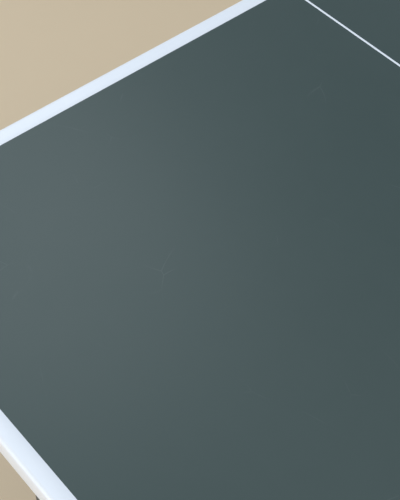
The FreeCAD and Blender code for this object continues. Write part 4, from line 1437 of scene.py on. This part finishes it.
@dataclass
class Caster:
    """A swivelling caster with tread, spoked hub, pressed fork and brake pedal."""

    side: Side
    row: Row
    paints: Paintbox
    trail: float = 0.025
    wheel_radius: float = 0.0375
    hub_radius: float = 0.012
    rim_radius: float = 0.0285
    spokes: int = 7
    crown_top: float = 0.084
    cheek_in: float = 0.012
    cheek_out: float = 0.015
    nose: float = 0.014
    pedal_reach: float = 0.025
    pedal_radius: float = 0.006
    axle_lobe: float = 0.0095
    axle_head: tuple[float, float] = (0.0068, 0.0025)
    axle_radius: float = 0.0039
    pin_radius: float = 0.0029
    crown_edge: float = 0.0014
    crown_drop: float = 0.0012
    rib_radius: float = 0.0006
    rib_half: float = 0.0092
    ribs: tuple[float, ...] = (0.0015, 0.0033, 0.0051)
    side_rib: float = 0.0085
    side_rib_drop: float = 0.0031

    def build(self) -> None:
        """Build fork, wheel and pedal for one corner."""
        self.corner = f"{self.row.word}_{self.side.word}"
        low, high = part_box(f"caster_wheel_{self.corner}")
        self.wheel = (low + high) / 2
        self.half = (high.y - low.y) / 2 - 0.0005
        self.out = self.side.value
        self.axis_x = self.wheel.x - self.out * self.trail
        self.axle = (self.trail, self.wheel_radius)
        self.pin = (self.trail + self.pedal_reach, self.crown_top - self.pedal_radius)
        self._fork()
        self._wheel()
        self._grip()

    def _at(self, forward: float, across: float, z: float) -> Vector:
        """A point given ahead of the swivel axis, to the side of it and above the floor."""
        return Vector((self.axis_x + self.out * forward, self.wheel.y + across, z))

    def _outline(self) -> list[tuple[float, float]]:
        """The cheek's outline, rounded about the wheel axle and the pedal pin."""
        top = self.crown_top - self.crown_drop
        points = [(-self.nose, top), (-self.nose, self.crown_top - 0.0072)]
        for spot, radius, turns in ((self.axle, self.axle_lobe, range(220, 331, 10)),
                                    (self.pin, self.pedal_radius, range(-35, 61, 12))):
            points += [(spot[0] + radius * math.cos(math.radians(turn)),
                        spot[1] + radius * math.sin(math.radians(turn))) for turn in turns]
        return points + [(self.pin[0] - 0.001, top)]

    def _fork(self) -> None:
        """Crown, cheeks, ball race, king pin, axle bolt and pedal pin."""
        piece = Piece(f"fork_{self.corner}", f"caster_{self.corner}", Coat.PRESSED)
        outline = self._outline()
        middle = (0.021, 0.066)
        sections = ((self.cheek_in, 0.015), (self.cheek_in + 0.0005, 0.0),
                    (self.cheek_out - 0.0007, 0.0), (self.cheek_out, 0.02))
        for sign in (1, -1):
            piece.loft([[self._at(a + (middle[0] - a) * shrink, sign * across,
                                  b + (middle[1] - b) * shrink) for a, b in outline]
                        for across, shrink in sections])
        tail = self.pin[0] - self.pedal_radius - 0.002
        ends = (self._at(-self.nose, -self.cheek_out, self.crown_top - 0.003),
                self._at(tail, self.cheek_out, self.crown_top))
        low = Vector([min(ends[0][i], ends[1][i]) for i in range(3)])
        high = Vector([max(ends[0][i], ends[1][i]) for i in range(3)])
        piece.block(low, high, self.crown_edge, 3)
        pin_head = [(0, 0), (0.0042, 0), (0.0040, 0.0008), (0.0026, 0.0014), (0, 0.0016)]
        for sign in (1, -1):
            head = self._at(self.axle[0], sign * self.cheek_out, self.axle[1])
            button_bolt(piece, Axis.Y, tuple(head), *self.axle_head, sign)
            head = self._at(self.pin[0], sign * (self.cheek_out - 0.0003), self.pin[1])
            piece.turned(Axis.Y, tuple(head), pin_head, 20, sign)
        reach = self.cheek_out - 0.0005
        for (x, z), radius in ((self.axle, self.axle_radius), (self.pin, self.pin_radius)):
            piece.turned(Axis.Y, tuple(self._at(x, 0, z)),
                         [(0, -reach), (radius, -reach), (radius, reach), (0, reach)], 20)
        crown, base = self.crown_top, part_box("base_rails")[0].z
        piece.turned(Axis.Z, (self.axis_x, self.wheel.y, 0), [
            (0, crown - 0.0005), (0.0138, crown - 0.0005), (0.014, crown + 0.0012),
            (0.0132, crown + 0.0030), (0.0118, crown + 0.0036), (0.0118, crown + 0.0052),
            (0.0134, crown + 0.0058), (0.014, crown + 0.0074), (0.014, base - 0.0012),
            (0.0134, base - 0.0006), (0.006, base - 0.0005), (0.0058, base + 0.0240),
            (0, base + 0.0248)], 40)
        piece.done(self.paints, (f"caster_fork_{self.corner}",))

    def _wheel(self) -> None:
        """A grooved tread on a spoked hub."""
        piece = Piece(f"wheel_set_{self.corner}", f"wheel_{self.corner}", Coat.TYRE)
        reach, half, rim = self.wheel_radius, self.half, self.rim_radius
        groove = 0.0009
        half_section = [(rim, half * 0.80), (rim + 0.0012, half * 0.9), (rim + 0.0030, half),
                        (reach - 0.0030, half), (reach - 0.0012, half - 0.0008),
                        (reach - 0.0003, half - 0.0026), (reach, half * 0.52),
                        (reach, half * 0.34), (reach - groove, half * 0.30),
                        (reach - groove, half * 0.20), (reach, half * 0.16)]
        section = half_section + [(radius, -height) for radius, height in reversed(half_section)]
        piece.loft(hoops(self.wheel, section, 72), looped=True)
        piece.paint(Coat.HUB)
        bore, hub = 0.0042, self.hub_radius
        tall = half + 0.0005
        core = [(bore, tall), (hub * 0.62, tall), (hub * 0.72, tall - 0.0006),
                (hub * 0.78, half * 0.72), (hub, half * 0.5), (hub * 1.25, half * 0.26),
                (rim * 0.88, half * 0.26), (rim * 0.93, half * 0.5), (rim * 0.95, half * 0.74),
                (rim + 0.0002, half * 0.78)]
        core += [(radius, -height) for radius, height in reversed(core)]
        piece.loft(hoops(self.wheel, core, 60), looped=True)
        for spoke in range(self.spokes):
            angle = 2 * math.pi * spoke / self.spokes
            ray = Vector((math.cos(angle), 0, math.sin(angle)))
            side = Vector((-math.sin(angle), 0, math.cos(angle)))
            for sign in (1, -1):
                rings = []
                for radius, wide, tall_share in ((hub * 0.7, 0.0016, 0.80),
                                                 (hub * 1.3, 0.0013, 0.62),
                                                 (rim * 0.94, 0.0015, 0.66)):
                    root = self.wheel + ray * radius
                    low = Axis.Y.unit() * sign * half * 0.2
                    high = Axis.Y.unit() * sign * half * tall_share
                    rings.append([root + side * wide + low, root + side * wide * 0.8 + high,
                                  root - side * wide * 0.8 + high, root - side * wide + low])
                piece.loft(rings)
        piece.done(self.paints, (f"caster_wheel_{self.corner}",))

    def _grip(self) -> None:
        """Raised ribs on the pedal's toe."""
        piece = Piece(f"pedal_grip_{self.corner}", f"pedal_{self.corner}", Coat.PEDAL)
        low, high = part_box(f"brake_pedal_{self.corner}")
        toe = high.x if self.side is Side.RIGHT else low.x
        for inset in self.ribs:
            x = toe - self.out * inset
            path = [Vector((x, self.wheel.y + share * self.rib_half, high.z - 0.0001))
                    for share in (-1, -0.5, 0, 0.5, 1)]
            piece.tube_along(path, self.rib_radius, 8)
        for sign in (1, -1):
            path = [Vector((toe - self.out * reach, self.wheel.y + sign * self.side_rib,
                            high.z - self.side_rib_drop)) for reach in (0.013, 0.020, 0.030)]
            piece.tube_along(path, self.rib_radius, 8)
        piece.done(self.paints)


# ---------------------------------------------------------------- studio


@dataclass(frozen=True)
class Lamp:
    """A soft studio light."""

    name: str
    place: Point
    aim: Point
    size: tuple[float, float]
    power: float
    colour: Colour = (1.0, 1.0, 1.0)

    def light(self) -> None:
        """Hang the light."""
        data = bpy.data.lights.new(self.name, "AREA")
        data.shape = "RECTANGLE"
        data.size, data.size_y = self.size
        data.energy = self.power
        data.color = self.colour
        made = bpy.data.objects.new(self.name, data)
        made.location = self.place
        direction = Vector(self.aim) - Vector(self.place)
        made.rotation_euler = direction.to_track_quat("-Z", "Y").to_euler()
        bpy.context.scene.collection.objects.link(made)


@dataclass
class Studio:
    """Floor, lights, sky and camera."""

    paints: Paintbox
    eye: Point = (-0.4584, -0.6066, 1.2945)
    look: Point = (-0.38198, 0.45905, -0.80210)
    up: Point = (-0.62381, 0.51229, 0.59027)
    lens_mm: float = 61.2
    sensor_mm: float = 36.0
    farthest: float = 60.0
    floor_half: float = 9.0
    sky: Colour = (0.84, 0.92, 1.0)
    sky_strength: float = 0.42
    lamps: tuple[Lamp, ...] = (
        Lamp("window", (-3.4, -0.2, 3.6), (-0.5, 0.0, 0.7), (2.6, 2.6), 86.0,
             (0.90, 0.96, 1.0)),
        Lamp("overhead", (0.6, 0.4, 4.2), (0.0, 0.0, 0.5), (4.0, 4.0), 48.0,
             (0.95, 0.98, 1.0)),
        Lamp("front", (0.0, -4.2, 1.3), (-0.2, 0.0, 0.5), (3.0, 1.8), 125.0,
             (0.96, 0.98, 1.0)),
        Lamp("back", (0.4, 4.4, 1.6), (0.0, 0.0, 0.5), (3.0, 1.8), 40.0),
    )

    def build(self) -> None:
        """Set up everything round the table."""
        self._floor()
        for lamp in self.lamps:
            lamp.light()
        self._sky()
        self._camera()
        bpy.context.scene.view_settings.view_transform = "Standard"
        log.info("studio is up with %d lights", len(self.lamps))

    def _floor(self) -> None:
        """A plain pale floor."""
        half = self.floor_half
        mesh = bpy.data.meshes.new("floor")
        mesh.from_pydata([(-half, -half, 0), (half, -half, 0), (half, half, 0),
                          (-half, half, 0)], [], [(0, 1, 2, 3)])
        mesh.materials.append(self.paints.get(Coat.FLOOR))
        made = bpy.data.objects.new("floor", mesh)
        bpy.context.scene.collection.objects.link(made)

    def _sky(self) -> None:
        """An even pale light from all round."""
        world = bpy.data.worlds.new("studio")
        world.use_nodes = True
        shade = world.node_tree.nodes["Background"]
        shade.inputs["Color"].default_value = (*self.sky, 1.0)
        shade.inputs["Strength"].default_value = self.sky_strength
        bpy.context.scene.world = world

    def _camera(self) -> None:
        """A camera above the left front corner, looking down along the surface."""
        data = bpy.data.cameras.new("camera")
        data.lens = self.lens_mm
        data.sensor_width = self.sensor_mm
        data.clip_end = self.farthest
        made = bpy.data.objects.new("camera", data)
        back = -Vector(self.look).normalized()
        up = Vector(self.up).normalized()
        right = up.cross(back).normalized()
        turn = Matrix((right, back.cross(right), back)).transposed().to_4x4()
        made.matrix_world = Matrix.Translation(self.eye) @ turn
        bpy.context.scene.collection.objects.link(made)
        bpy.context.scene.camera = made


def main() -> None:
    """Build the looks, piece by piece."""
    logging.basicConfig(level=logging.INFO, format="%(message)s")
    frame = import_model()
    paints = Paintbox()
    Studio(paints).build()
    slots = {part["node"]: part["material_slot"] for part in frame["record"]["subparts"]}
    SteelWork(paints, frame["nodes"]).dress(slots)
    places = joint_places(frame["joints"])
    for side in Side:
        PlayingHalf(side, paints).build()
        HalfHardware(side, paints, places).build()
        LegHardware(side, paints, places).build()
    Trolley(paints).build()
    Net(paints).build()
    for row in Row:
        ClampKnob(row, paints).build()
        for side in Side:
            Caster(side, row, paints).build()


if __name__ == "__main__":
    main()
